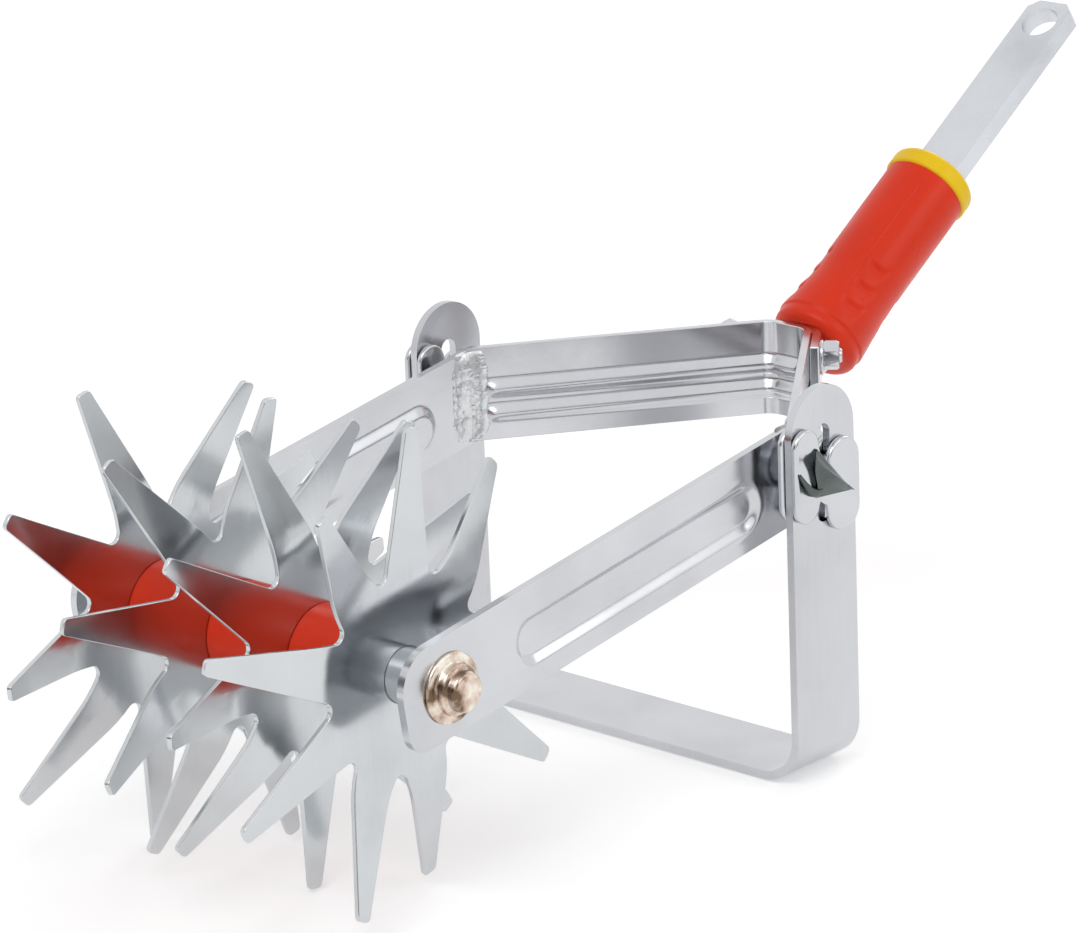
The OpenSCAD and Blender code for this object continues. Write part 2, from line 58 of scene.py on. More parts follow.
# %% [markdown]
# ## Sizes
# Most sizes can be read off the construction model with a box query, so the dressed
# pieces follow it when it changes. The few that a box cannot tell, such as a bend
# radius or a slope, are written here in millimetres.

# %% Sizes read from the model and sizes written down
joints = {j["name"]: j for j in frame["joints"]}
AXLE = Vector(joints["axle"]["pos_m"]) / MM
PIVOT = Vector(joints["stirrup_rock"]["pos_m"]) / MM


def span(node, axis):
    """Lowest and highest place of a node along one axis, in millimetres."""
    low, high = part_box(node)
    return low[axis] / MM, high[axis] / MM


SHEET = 2.5
ROD_RADIUS = 5
RUN_FIT = 0.08
SNUG = 0.02
AXIS_RADIUS = 0.02
STAR_THICK = 1.6
STAR_RADIUS = 68.95
ARM_SLOPE = math.radians(8.4)
BAR_ANGLE = math.radians(36.5)
HANDLE_SLOPE = math.radians(33)
ARM_OUT = -span("axle_cap_near", 1)[1]
NOSE_X = PIVOT.x + 73.9
HANDLE_FOOT = Vector((PIVOT.x + 85.3, 0, 97))
print("axle at", [round(v, 2) for v in AXLE], "rocking axis at", [round(v, 2) for v in PIVOT])

# %% [markdown]
# ## Making a piece
# Every piece below is a list of points and faces worked out by a formula. One helper
# turns them into an object, gives it its finish, hangs it on the right body and hides
# the plain solid that it stands for. Points are given in millimetres, because that is
# how the real drawings read, and the helper divides them by a thousand.

# %% Helper that turns points and faces into a dressed piece
finishes = {}


def add_piece(name, shape, body, slot, stands_for=(), finish=None, crease=35):
    points, faces = shape
    mesh = bpy.data.meshes.new(name)
    mesh.from_pydata([Vector(p) * MM for p in points], [], faces)
    bm = bmesh.new()
    bm.from_mesh(mesh)
    bmesh.ops.remove_doubles(bm, verts=bm.verts, dist=0.002 * MM)
    bmesh.ops.dissolve_degenerate(bm, edges=bm.edges, dist=0.001 * MM)
    bmesh.ops.recalc_face_normals(bm, faces=bm.faces)
    bm.to_mesh(mesh)
    bm.free()
    mesh.shade_smooth()
    mesh.set_sharp_from_angle(angle=math.radians(crease))
    piece = bpy.data.objects.new(name, mesh)
    bpy.context.scene.collection.objects.link(piece)
    piece.data.materials.append(finishes[finish or slot])
    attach(piece, body)
    if stands_for:
        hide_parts(*stands_for)
    return piece


def soften(piece, width, segments=2, angle=40):
    """Breaks the sharp edges, which on stamped and plated steel always catch the light."""
    bevel = piece.modifiers.new("broken edge", "BEVEL")
    bevel.width = width * MM
    bevel.segments = segments
    bevel.limit_method = "ANGLE"
    bevel.angle_limit = math.radians(angle)
    bevel.harden_normals = True
    return piece


def loft(rings, closed=True, caps=True):
    """Faces that join rings with the same number of points, one ring after another."""
    n = len(rings[0])
    points = [p for ring in rings for p in ring]
    faces = []
    for i in range(len(rings) - 1):
        for j in range(n if closed else n - 1):
            a, b = i * n + j, i * n + (j + 1) % n
            faces.append((a, b, b + n, a + n))
    if caps:
        faces.append(tuple(range(n - 1, -1, -1)))
        faces.append(tuple((len(rings) - 1) * n + j for j in range(n)))
    return points, faces


def smoothstep(low, high, value):
    t = min(1.0, max(0.0, (value - low) / (high - low)))
    return t * t * (3 - 2 * t)


def spread(low, high, count):
    return [low + (high - low) * i / (count - 1) for i in range(count)]


def once_round(steps):
    return [2 * math.pi * i / steps for i in range(steps)]


print("helpers ready")

# %% [markdown]
# ## Finishes
# The steel is plated with bright zinc. It mirrors its surroundings softly, a little
# blue, with faint rolling streaks, cloudy patches where the plating bath left it
# duller, and small dark specks. A metal shader with a noise-driven roughness and a very
# fine bump gives that. Streaks are the same noise stretched along one direction.

# %% Node helpers for the finishes
def new_finish(name):
    material = bpy.data.materials.new(name)
    material.use_nodes = True
    tree = material.node_tree
    shader = tree.nodes["Principled BSDF"]
    where = tree.nodes.new("ShaderNodeTexCoord")
    return material, tree, shader, where.outputs["Object"]


def noise_node(tree, place, scale, detail=4.0, stretch=(1, 1, 1), rough=0.5):
    mapping = tree.nodes.new("ShaderNodeMapping")
    mapping.inputs["Scale"].default_value = stretch
    texture = tree.nodes.new("ShaderNodeTexNoise")
    texture.inputs["Scale"].default_value = scale
    texture.inputs["Detail"].default_value = detail
    texture.inputs["Roughness"].default_value = rough
    tree.links.new(place, mapping.inputs["Vector"])
    tree.links.new(mapping.outputs["Vector"], texture.inputs["Vector"])
    return texture.outputs["Fac"]


def ramp(tree, value, stops):
    """Maps a value to a colour or a number through a few stops."""
    node = tree.nodes.new("ShaderNodeValToRGB")
    node.color_ramp.elements[0].position = stops[0][0]
    node.color_ramp.elements[1].position = stops[-1][0]
    for place, colour in stops[1:-1]:
        node.color_ramp.elements.new(place)
    for element, (place, colour) in zip(node.color_ramp.elements, stops):
        level = (colour, colour, colour) if isinstance(colour, (int, float)) else colour
        element.color = (*level, 1)
    tree.links.new(value, node.inputs["Fac"])
    return node.outputs["Color"]


def add_bump(tree, shader, height, strength, depth, before=None):
    node = tree.nodes.new("ShaderNodeBump")
    node.inputs["Strength"].default_value = strength
    node.inputs["Distance"].default_value = depth * MM
    tree.links.new(height, node.inputs["Height"])
    if before is not None:
        tree.links.new(before, node.inputs["Normal"])
    tree.links.new(node.outputs["Normal"], shader.inputs["Normal"])
    return node.outputs["Normal"]


# %% Plated steel
def plated_steel(name, tone, dull, streak_along, mottled):
    """Bright zinc: dull is the middle of its roughness, streak_along the rolling direction."""
    material, tree, shader, place = new_finish(name)
    shader.inputs["Metallic"].default_value = 1.0
    stretch = [1.0, 1.0, 1.0]
    stretch[streak_along] = 0.05
    streaks = noise_node(tree, place, 1100, 3, stretch)
    clouds = noise_node(tree, place, 34, 5)
    mix = tree.nodes.new("ShaderNodeMix")
    mix.inputs["Factor"].default_value = 0.15
    tree.links.new(clouds, mix.inputs["A"])
    tree.links.new(streaks, mix.inputs["B"])
    worn = mix.outputs["Result"]
    darker = [c * (0.93 - mottled) for c in tone]
    brighter = [min(1, c * 1.05) for c in tone]
    colour = ramp(tree, worn, [(0.34, darker), (0.52, tone), (0.70, brighter)])
    specks = noise_node(tree, place, 1700, 2, rough=0.7)
    speckled = tree.nodes.new("ShaderNodeMix")
    speckled.data_type = "RGBA"
    speckled.blend_type = "MULTIPLY"
    speck_share = ramp(tree, specks, [(0.70, 0.0), (0.80, 0.30 + mottled)])
    tree.links.new(speck_share, speckled.inputs["Factor"])
    tree.links.new(colour, speckled.inputs["A"])
    speckled.inputs["B"].default_value = (0.55, 0.54, 0.53, 1)
    tree.links.new(speckled.outputs["Result"], shader.inputs["Base Color"])
    rough = ramp(tree, worn, [(0.32, dull * 1.3), (0.5, dull), (0.68, dull * 0.75)])
    tree.links.new(rough, shader.inputs["Roughness"])
    first = add_bump(tree, shader, streaks, 0.02, 0.012)
    waves = noise_node(tree, place, 38, 2)
    add_bump(tree, shader, waves, 0.035, 0.25, first)
    return material


STEELS = (
    ("bright_zinc", (0.58, 0.59, 0.615), 0.19, 2, 0),
    ("pressed_zinc", (0.60, 0.61, 0.635), 0.17, 0, 0),
    ("star_zinc", (0.60, 0.62, 0.635), 0.17, 2, 0),
    ("tang_zinc", (0.64, 0.66, 0.69), 0.30, 0, 0.05),
    ("plain_steel", (0.52, 0.54, 0.57), 0.26, 1, 0),
    # The last finish, for the folded tongue of the clips, is near-black: painted shade for the
    # shadow in the fold and painted dark reflection.
    ("painted_shade_neck", (0.12, 0.14, 0.135), 0.15, 1, 0.3))
for name, tone, dull, streak_along, mottled in STEELS:
    finishes[name] = plated_steel(name, tone, dull, streak_along, mottled)
print("plated finishes:", len(finishes))


# %% Copper-nickel caps
def copper_plate():
    """Warm plating in brown, copper and cream patches that follow a noise."""
    material, tree, shader, place = new_finish("copper_plate")
    shader.inputs["Metallic"].default_value = 1.0
    patches = noise_node(tree, place, 150, 4)
    brown, copper, cream = (0.17, 0.11, 0.07), (0.60, 0.46, 0.37), (0.86, 0.80, 0.71)
    colour = ramp(tree, patches, [(0.36, brown), (0.48, copper), (0.62, cream)])
    tree.links.new(colour, shader.inputs["Base Color"])
    rough = ramp(tree, patches, [(0.3, 0.24), (0.7, 0.10)])
    tree.links.new(rough, shader.inputs["Roughness"])
    add_bump(tree, shader, noise_node(tree, place, 600, 3), 0.10, 0.03)
    return material


finishes["copper_plate"] = copper_plate()


# %% Weld metal
def weld_metal():
    """Silver-grey bead with brown burnt stains in its hollows."""
    material, tree, shader, place = new_finish("weld_metal")
    shader.inputs["Metallic"].default_value = 1.0
    stains = noise_node(tree, place, 120, 4, rough=0.55)
    grains = noise_node(tree, place, 700, 3, rough=0.5)
    burnt, straw = (0.26, 0.22, 0.12), (0.50, 0.48, 0.36)
    grey, silver = (0.64, 0.65, 0.65), (0.72, 0.74, 0.76)
    colour = ramp(tree, stains, [(0.26, burnt), (0.31, straw), (0.35, grey), (0.75, silver)])
    tree.links.new(colour, shader.inputs["Base Color"])
    rough = ramp(tree, grains, [(0.3, 0.36), (0.7, 0.20)])
    tree.links.new(rough, shader.inputs["Roughness"])
    add_bump(tree, shader, grains, 0.06, 0.08)
    return material


finishes["weld_metal"] = weld_metal()


# %% Moulded plastic
def moulded_plastic(name, tone, gloss):
    material, tree, shader, place = new_finish(name)
    tint = noise_node(tree, place, 35, 3)
    darker, brighter = [c * 0.93 for c in tone], [min(1, c * 1.05) for c in tone]
    colour = ramp(tree, tint, [(0.3, darker), (0.7, brighter)])
    tree.links.new(colour, shader.inputs["Base Color"])
    grain = noise_node(tree, place, 1500, 2)
    polish = noise_node(tree, place, 60, 4)
    rough = ramp(tree, polish, [(0.3, gloss * 1.25), (0.7, gloss * 0.85)])
    tree.links.new(rough, shader.inputs["Roughness"])
    shader.inputs["Subsurface Weight"].default_value = 0.03
    shader.inputs["Subsurface Radius"].default_value = (0.002, 0.0005, 0.0003)
    shader.inputs["Specular IOR Level"].default_value = 0.25
    add_bump(tree, shader, grain, 0.05, 0.03)
    return material


finishes["red_plastic"] = moulded_plastic("red_plastic", (0.80, 0.036, 0.006), 0.30)
finishes["yellow_plastic"] = moulded_plastic("yellow_plastic", (0.98, 0.63, 0.008), 0.32)
print("all finishes:", sorted(finishes))

# %% [markdown]
# ## Toothed stars
# Each star is stamped from sheet with nine tapering teeth, then every tooth in a row
# of three is set out, left straight or set in, so that the four stars together comb a
# wide strip of soil. The outline is walked once for a tooth: the round valley, the
# straight edge, the small tip. From each outline point a column of points runs to
# the hub. Bending is then a formula on the distance along the tooth, which keeps the
# sheet's thickness and gives the fold the soft radius that a press tool leaves.

# %% Outline of one tooth
TEETH = 9
TIP_HALF = 2.3
TAPER = math.radians(8.2)
VALLEY = 2.8
PITCH = 2 * math.pi / TEETH
TIP_ROUND = 1.3


def tooth_outline():
    """Points of one tooth as (radius, angle), from the middle of one valley to the next."""
    half = PITCH / 2
    slope = math.tan(TAPER)
    cross = (TIP_HALF + STAR_RADIUS * slope) / (math.sin(half) + math.cos(half) * slope)
    centre = cross + VALLEY / math.sin(half + TAPER)
    side = []
    for turn in spread(0, math.pi / 2 - half - TAPER, 6):
        x = centre - VALLEY * math.cos(turn)
        y = VALLEY * math.sin(turn)
        along = x * math.cos(half) + y * math.sin(half)
        side.append((along, -x * math.sin(half) + y * math.cos(half)))
    last = side[-1]
    corner_x = STAR_RADIUS - TIP_ROUND
    end = (corner_x, -TIP_HALF - (STAR_RADIUS - corner_x) * slope * 0.6)
    for t in spread(0, 1, 14)[1:]:
        side.append((last[0] + (end[0] - last[0]) * t, last[1] + (end[1] - last[1]) * t))
    for turn in spread(0, math.pi / 2, 4)[1:]:
        tip_y = end[1] + TIP_ROUND * (1 - math.cos(turn))
        side.append((corner_x + TIP_ROUND * math.sin(turn), tip_y))
    side.append((STAR_RADIUS, 0))
    other = [(x, -y) for x, y in reversed(side[:-1])]
    return side + other[:-1]


print("points round one tooth:", len(tooth_outline()))

# %% One star from its outline
FOLD_FROM = 29.5
FOLD_TO = 38.5
FOLD_TURN = math.radians(16)
HUB_RADIUS = 8.05


def folded(along, up, way):
    """Bends a point of the flat tooth: along the tooth, up from the middle of the sheet."""
    bend_radius = (FOLD_TO - FOLD_FROM) / FOLD_TURN
    turn = FOLD_TURN * min(1, max(0, (along - FOLD_FROM) / (FOLD_TO - FOLD_FROM)))
    past = max(0, along - FOLD_TO)
    before = min(along, FOLD_FROM)
    x = before + bend_radius * math.sin(turn) + past * math.cos(turn) - up * way * math.sin(turn)
    z = bend_radius * (1 - math.cos(turn)) + past * math.sin(turn)
    return x, way * z + up * math.cos(turn)


def star_points(first, thick, rows=20):
    columns = []
    for k in range(TEETH):
        way = 1 - (k + first) % 3
        for x, y in tooth_outline():
            columns.append((k, way, x, y))
    rings = []
    for up in (thick / 2, -thick / 2):
        for i in (range(rows) if up > 0 else reversed(range(rows))):
            part = i / (rows - 1)
            ring = []
            for k, way, x, y in columns:
                reach = math.hypot(x, y)
                shrink = (HUB_RADIUS + (reach - HUB_RADIUS) * part) / reach
                fx, fz = folded(x * shrink, up, way) if way else (x * shrink, up)
                c, s = math.cos(k * PITCH), math.sin(k * PITCH)
                ring.append((fx * c - y * shrink * s, fx * s + y * shrink * c, fz))
            rings.append(ring)
    rings.append(rings[0])
    return loft(rings, closed=True, caps=False)


def add_star(number, phase, first):
    points, faces = star_points(first, STAR_THICK)
    low, high = span(f"star_{number}", 1)
    middle = (low + high) / 2
    c, s = math.cos(math.radians(phase)), math.sin(math.radians(phase))
    placed = [(AXLE.x + x * c - y * s, middle + z, AXLE.z + x * s + y * c) for x, y, z in points]
    star = add_piece(
        f"star_{number}_plated", (placed, faces), "rotor", "bright_zinc",
        [f"star_{number}"], "star_zinc")
    return soften(star, 0.28, 2, 50)


PHASE_ODD, PHASE_EVEN = 3.8, 24
STARS = ((1, PHASE_ODD, 2), (2, PHASE_EVEN, 1), (3, PHASE_ODD, 0), (4, PHASE_EVEN, 1))
for number, phase, first in STARS:
    star = add_star(number, phase, first)
    print(star.name, len(star.data.polygons), "faces")

# %% [markdown]
# ## Turned and tubular parts
# Spacers, hub tube, rod and caps are all turned shapes. A lathe helper spins a short
# outline round the axle. The outline lists radius and place along the axis.

# %% Lathe
def lathe(outline, place, steps=96):
    """Spins (radius, along) points; place turns (radial cos, radial sin, along) into space."""
    rings = []
    for radius, along in outline:
        turns = once_round(steps)
        rings.append([place(radius * math.cos(a), radius * math.sin(a), along) for a in turns])
    return loft(rings, closed=True, caps=False)


def rounded(outline, radius, steps=4):
    """Rounds the inner corners of an open outline of (radius, along) points."""
    out = [outline[0]]
    for before, corner, after in zip(outline, outline[1:], outline[2:]):
        a, b, c = Vector(before), Vector(corner), Vector(after)
        reach = min(radius, (a - b).length * 0.45, (c - b).length * 0.45)
        start = b + (a - b).normalized() * reach
        end = b + (c - b).normalized() * reach
        for t in spread(0, 1, steps):
            out.append(tuple(start * (1 - t) ** 2 + b * 2 * t * (1 - t) + end * t * t))
    return out + [outline[-1]]


def on_axle(x, z, along):
    return (AXLE.x + x, along, AXLE.z + z)


def ring_outline(inner, outer, start, end, edge):
    """A tube, started in the middle of its bore so that both ends get rounded edges."""
    middle = (start + end) / 2
    ends = [(inner, start), (outer, start), (outer, end), (inner, end)]
    return rounded([(inner, middle), *ends, (inner, middle)], edge)


SPACER_RADIUS = 14
HUB_OUTSIDE = 8
for node in ("spacer_near", "spacer_mid", "spacer_far"):
    start, end = span(node, 1)
    tube = lathe(ring_outline(HUB_RADIUS, SPACER_RADIUS, start, end, 0.6), on_axle)
    add_piece(f"{node}_moulded", tube, "rotor", "red_plastic", [node])
start, end = span("hub_tube", 1)
tube = lathe(ring_outline(ROD_RADIUS + RUN_FIT, HUB_OUTSIDE, start, end, 0.4), on_axle)
add_piece("hub_tube_drawn", tube, "rotor", "plain_steel", ["hub_tube"])
print("hub tube from", round(start, 1), "to", round(end, 1))

# %% [markdown]
# The caps are small pressings with a flange, a wide step and a narrower domed end.
# Each step is rounded, because the cap is drawn from one disc.

# %% Caps on the axle
def cap_outline():
    """Bore, flange, wide step and narrow end of a cap, as radius and height on the arm."""
    bore = [(ROD_RADIUS + SNUG, 2), (ROD_RADIUS + SNUG, 0)]
    flange = [(9.9, 0), (10.3, 0.5), (9.9, 1.1)]
    step = [(7.7, 1.3), (7.3, 1.8), (7.2, 3.3)]
    end = [(6.4, 3.9), (5.9, 4.2), (5.8, 6.1), (4.9, 6.75), (AXIS_RADIUS, 7.0)]
    return rounded(bore + flange + step + end, 0.7, 5)


def add_cap(node, side):
    foot = side * ARM_OUT
    cap = lathe(cap_outline(), lambda x, z, along: on_axle(x, z, foot + side * along))
    add_piece(f"{node}_pressed", cap, "frame", "copper_plate", [node])


add_cap("axle_cap_near", -1)
add_cap("axle_cap_far", 1)
start, end = span("axle_rod", 1)
ROD_END = ROD_RADIUS - 0.1
rod_start = [(AXIS_RADIUS, start), (ROD_END, start), (ROD_RADIUS, start + 0.2)]
rod_end = [(ROD_RADIUS, end - 0.2), (ROD_END, end), (AXIS_RADIUS, end)]
rod = lathe(rounded(rod_start + rod_end, 0.3), on_axle, 48)
add_piece("axle_rod_turned", rod, "frame", "plain_steel", ["axle_rod"])
print("caps and rod made")

# %% [markdown]
# ## Pressed arms
# An arm is a strip with a round end, a squarish nose and a long groove that stiffens
# it. The surface is a grid whose sideways place is a formula for the groove and its
# slightly raised rim. Both faces use the same formula, so the inner face shows the
# ridge that a real pressing has.

# %% Shape of an arm
ARM_LONG = (PIVOT.x - AXLE.x) / math.cos(ARM_SLOPE)
ARM_HALF = 14.6
ARM_NOSE = 18
ARM_RISE = 0.6
NOSE_TOP = 12
NOSE_LOW = 7
GROOVE_HALF = 7.9
GROOVE_DEEP = 1.5
GROOVE_FROM = 34
GROOVE_TO = ARM_LONG - 25
GROOVE_DROP = 1.4
GROOVE_WALL = 3.6
RIM_HIGH = 0.10


def arm_edges(s):
    """Lower and upper edge of the arm at a distance s from the axle."""
    u = s + ARM_NOSE
    top = ARM_HALF
    low = -ARM_HALF
    if u < NOSE_TOP:
        top -= NOSE_TOP - math.sqrt(max(0, NOSE_TOP ** 2 - (NOSE_TOP - u) ** 2))
    if u < NOSE_LOW:
        low += NOSE_LOW - math.sqrt(max(0, NOSE_LOW ** 2 - (NOSE_LOW - u) ** 2))
    if s > ARM_LONG:
        top = math.sqrt(max(0.0004, ARM_HALF ** 2 - (s - ARM_LONG) ** 2))
        low = -top
    return low, top


def arm_out_of_plane(s, t):
    """How far the arm's outer face stands out from its flat part."""
    nearest = min(GROOVE_TO, max(GROOVE_FROM, s))
    inside = GROOVE_HALF - math.hypot(s - nearest, t + GROOVE_DROP)
    press = smoothstep(0, GROOVE_WALL, inside)
    rim = RIM_HIGH * math.exp(-((inside + 0.6) / 0.9) ** 2)
    return rim - GROOVE_DEEP * press


def arm_shape(side):
    stations = [-ARM_NOSE + NOSE_TOP * (1 - math.cos(a)) for a in spread(0, math.pi / 2, 14)]
    stations += spread(stations[-1], ARM_LONG, 190)[1:]
    stations += [ARM_LONG + ARM_HALF * math.sin(a) for a in spread(0, math.pi / 2, 22)[1:]]
    rings = []
    for s in stations:
        low, top = arm_edges(s)
        heights = spread(low, top, 44)
        outer = [(s, t, arm_out_of_plane(s, t)) for t in heights]
        inner = [(s, t, y - SHEET) for s, t, y in reversed(outer)]
        rings.append([arm_place(side, *p) for p in outer + inner])
    return loft(rings)


def arm_place(side, s, t, out):
    c, d = math.cos(ARM_SLOPE), math.sin(ARM_SLOPE)
    t += ARM_RISE
    return (AXLE.x + s * c - t * d, side * (ARM_OUT + out), AXLE.z + s * d + t * c)


for name, side in (("arm_near", -1), ("arm_far", 1)):
    arm = add_piece(f"{name}_pressed", arm_shape(side), "frame", "pressed_zinc", [name])
    soften(arm, 0.3)
    print(arm.name, len(arm.data.polygons), "faces")

# %% [markdown]
# ## Crossbar
# One strip is bent to a blunt V and welded between the arms. Two ribs run along it
# and fade before the welds. It is made by carrying a cross-section along the path of
# the strip: straight, bend, short nose, bend, straight.

# %% Path of the strip and its cross-section
BAR_LOW, BAR_HIGH = span("crossbar", 2)
BAR_END = span("crossbar", 1)[1]
BEND = math.pi / 2 - BAR_ANGLE
BEND_INSIDE = 6
NOSE_HALF = 6.8
FLAT_HALF = NOSE_HALF - BEND_INSIDE * math.tan(BEND / 2)
BEND_END = FLAT_HALF + BEND_INSIDE * BEND
HALF_LONG = (BAR_END - FLAT_HALF - BEND_INSIDE * math.sin(BEND)) / math.sin(BAR_ANGLE)


def strip_point(side, along, depth):
    """Place in plan: along is 0 in the middle of the nose, depth goes back from the front face."""
    if along <= FLAT_HALF:
        return (NOSE_X + depth, side * along)
    turn = min(BEND, (along - FLAT_HALF) / BEND_INSIDE)
    reach = BEND_INSIDE + depth
    x = NOSE_X - BEND_INSIDE + reach * math.cos(turn)
    y = FLAT_HALF + reach * math.sin(turn)
    past = max(0, along - BEND_END)
    return (x - past * math.cos(BAR_ANGLE), side * (y + past * math.sin(BAR_ANGLE)))


STRIP_END = BEND_END + HALF_LONG
RIBS = ((BAR_LOW + 8.4, 3.5), (BAR_LOW + 16.2, 3.6))
RIB_OUT, RIB_BACK = 1.9, 1.5
RIB_FADE_FROM, RIB_FADE_TO = STRIP_END - 7.4, STRIP_END - 4.2


def rib_swell(z, narrow=0.0):
    total = 0
    for middle, half in RIBS:
        t = min(1, abs(z - middle) / (half - narrow))
        total += 0.5 + 0.5 * math.cos(math.pi * t)
    return total


def strip_rings(low, high, front, back, stations, ribbed, rows=60, flush=None):
    """The cross-section at every station; flush is the side face the last one lies on."""
    rings = []
    for side, along in stations:
        fade = 1 - smoothstep(RIB_FADE_FROM, RIB_FADE_TO, along) if ribbed else 0
        ring = []
        for z in spread(low, high, rows):
            ring.append((front - RIB_OUT * fade * rib_swell(z), z))
        for z in spread(high, low, rows):
            ring.append((back - RIB_BACK * fade * rib_swell(z, 0.9), z))
        placed = []
        for depth, z in ring:
            x, y = strip_point(side, along, depth)
            if flush and along >= STRIP_END - 0.001:
                slide = (flush - abs(y)) / math.sin(BAR_ANGLE)
                x, y = x - slide * math.cos(BAR_ANGLE), side * flush
            placed.append((x, y, z))
        rings.append(placed)
    return rings


def strip_stations(end, straight_steps, bend_steps=14):
    """Places along the strip, closer together in the bends, from one end to the other."""
    half = spread(0, FLAT_HALF, 3)[1:] + spread(FLAT_HALF, BEND_END, bend_steps)[1:]
    half += spread(BEND_END, end, straight_steps)[1:]
    return [(-1, a) for a in reversed(half)] + [(1, 0)] + [(1, a) for a in half]


bar_stations = strip_stations(STRIP_END, 60)
rings = strip_rings(BAR_LOW, BAR_HIGH, 0, SHEET, bar_stations, True, flush=BAR_END)
crossbar = add_piece(
    "crossbar_ribbed", loft(rings), "frame", "pressed_zinc", ["crossbar"], crease=50)
soften(crossbar, 0.3)
print("crossbar path", round(2 * STRIP_END, 1), "mm long")

# %% [markdown]
# The foot plate follows the back of the nose. It is the same path at another depth.

# %% Foot plate, studs, washers and nuts
FOOT_LOW, FOOT_HIGH = span("handle_foot", 2)
FOOT_BEHIND = SHEET + 3
FOOT_END = BEND_END + 14.5
foot_stations = strip_stations(FOOT_END, 8)
rings = strip_rings(FOOT_LOW, FOOT_HIGH, SHEET, FOOT_BEHIND, foot_stations, False, rows=6)
foot = add_piece("handle_foot_bent", loft(rings), "frame", "pressed_zinc", ["handle_foot"])
soften(foot, 0.5)

STUD_ALONG = BEND_END + 7
STUD_Z = sum(span("foot_washers", 2)) / 2


def stud_place(side):
    foot = Vector((*strip_point(side, STUD_ALONG, 0), STUD_Z))
    out = Vector((math.sin(BAR_ANGLE), side * math.cos(BAR_ANGLE), 0))
    across = Vector((-math.cos(BAR_ANGLE), side * math.sin(BAR_ANGLE), 0))
    return lambda u, v, along: tuple(foot + across * u + Vector((0, 0, v)) + out * along)


def joined(parts):
    points, faces = [], []
    for some_points, some_faces in parts:
        base = len(points)
        points += some_points
        faces += [tuple(i + base for i in f) for f in some_faces]
    return points, faces


def hex_nut(place, start, high, flats):
    """A nut turned from hexagon bar: the corners are cut back by a cone at both ends."""
    corner = flats / math.sqrt(3) + 0.1
    face = flats / 2 + 0.05
    bore = STUD_RADIUS + 0.1
    end = start + high
    rings = []
    for radius_limit, along in (
            (bore, start), (face, start), (corner, start + 0.55),
            (corner, end - 0.75), (face, end), (bore, end)):
        ring = []
        for a in once_round(72):
            flat = flats / 2 / math.cos((a + math.pi / 6) % (math.pi / 3) - math.pi / 6)
            radius = min(flat, radius_limit)
            ring.append(place(radius * math.cos(a), radius * math.sin(a), along))
        rings.append(ring)
    rings.append(rings[0])
    return loft(rings, caps=False)


STUD_RADIUS = 2.5
THREAD_DEEP = 0.22
WASHER_RADIUS = 4.8
WASHER_END = FOOT_BEHIND + 1
NUT_HIGH, NUT_FLATS = 4.7, 8
STUD_END = WASHER_END + NUT_HIGH + 0.9
studs, washers, nuts = [], [], []
for side in (-1, 1):
    place = stud_place(side)
    shank = [(AXIS_RADIUS, SHEET), (STUD_RADIUS, SHEET), (STUD_RADIUS, FOOT_BEHIND)]
    turns = enumerate(spread(WASHER_END, STUD_END - 0.5, 18))
    thread = [(STUD_RADIUS - THREAD_DEEP * (i % 2), z) for i, z in turns]
    point = [(STUD_RADIUS - 0.6, STUD_END), (AXIS_RADIUS, STUD_END)]
    studs.append(lathe(shank + thread + point, place, 48))
    washer = ring_outline(STUD_RADIUS + SNUG, WASHER_RADIUS, FOOT_BEHIND, WASHER_END, 0.25)
    washers.append(lathe(washer, place, 48))
    nuts.append(hex_nut(place, WASHER_END, NUT_HIGH, NUT_FLATS))
add_piece("foot_studs_threaded", joined(studs), "frame", "bright_zinc", ["foot_studs"])
add_piece("foot_washers_punched", joined(washers), "frame", "bright_zinc", ["foot_washers"])
add_piece("foot_nuts_chamfered", joined(nuts), "frame", "bright_zinc", ["foot_nuts"], crease=25)
print("studs at z", round(STUD_Z, 1))

# %% [markdown]
# ## Welds
# Each end of the crossbar has a hand-laid weld in its corner with the arm: a dome over
# the corner, broken into round lumps, with a ragged toe. Noise moves the lumps and the
# toe. The two beads on the foot plate are round and rippled.

# %% Weld between the crossbar and an arm
def ragged(a, b, c):
    return noise.noise(Vector((a, b, c)))


WELD_WIDE, WELD_LEG = 6.4, 6.8


def weld_lumps(low, high, seed):
    """Round lumps up the weld: height, place across it, size and how far they stand out."""
    lumps = []
    z = low + 2.2
    while z < high - 1.5:
        size = 3.2 + 1.0 * ragged(seed, z, 3.1)
        across, tall = 0.45 * ragged(seed, z * 0.7, 9.4), 0.9 + 0.5 * ragged(seed, z, 5.5)
        lumps.append((z, across, size, tall))
        across, tall = -0.55 + 0.3 * ragged(seed, z, 1.2), 0.8 + 0.5 * ragged(seed, z, 8.8)
        lumps.append((z + 1.6, across, size * 0.8, tall))
        z += size * 1.15
    return lumps


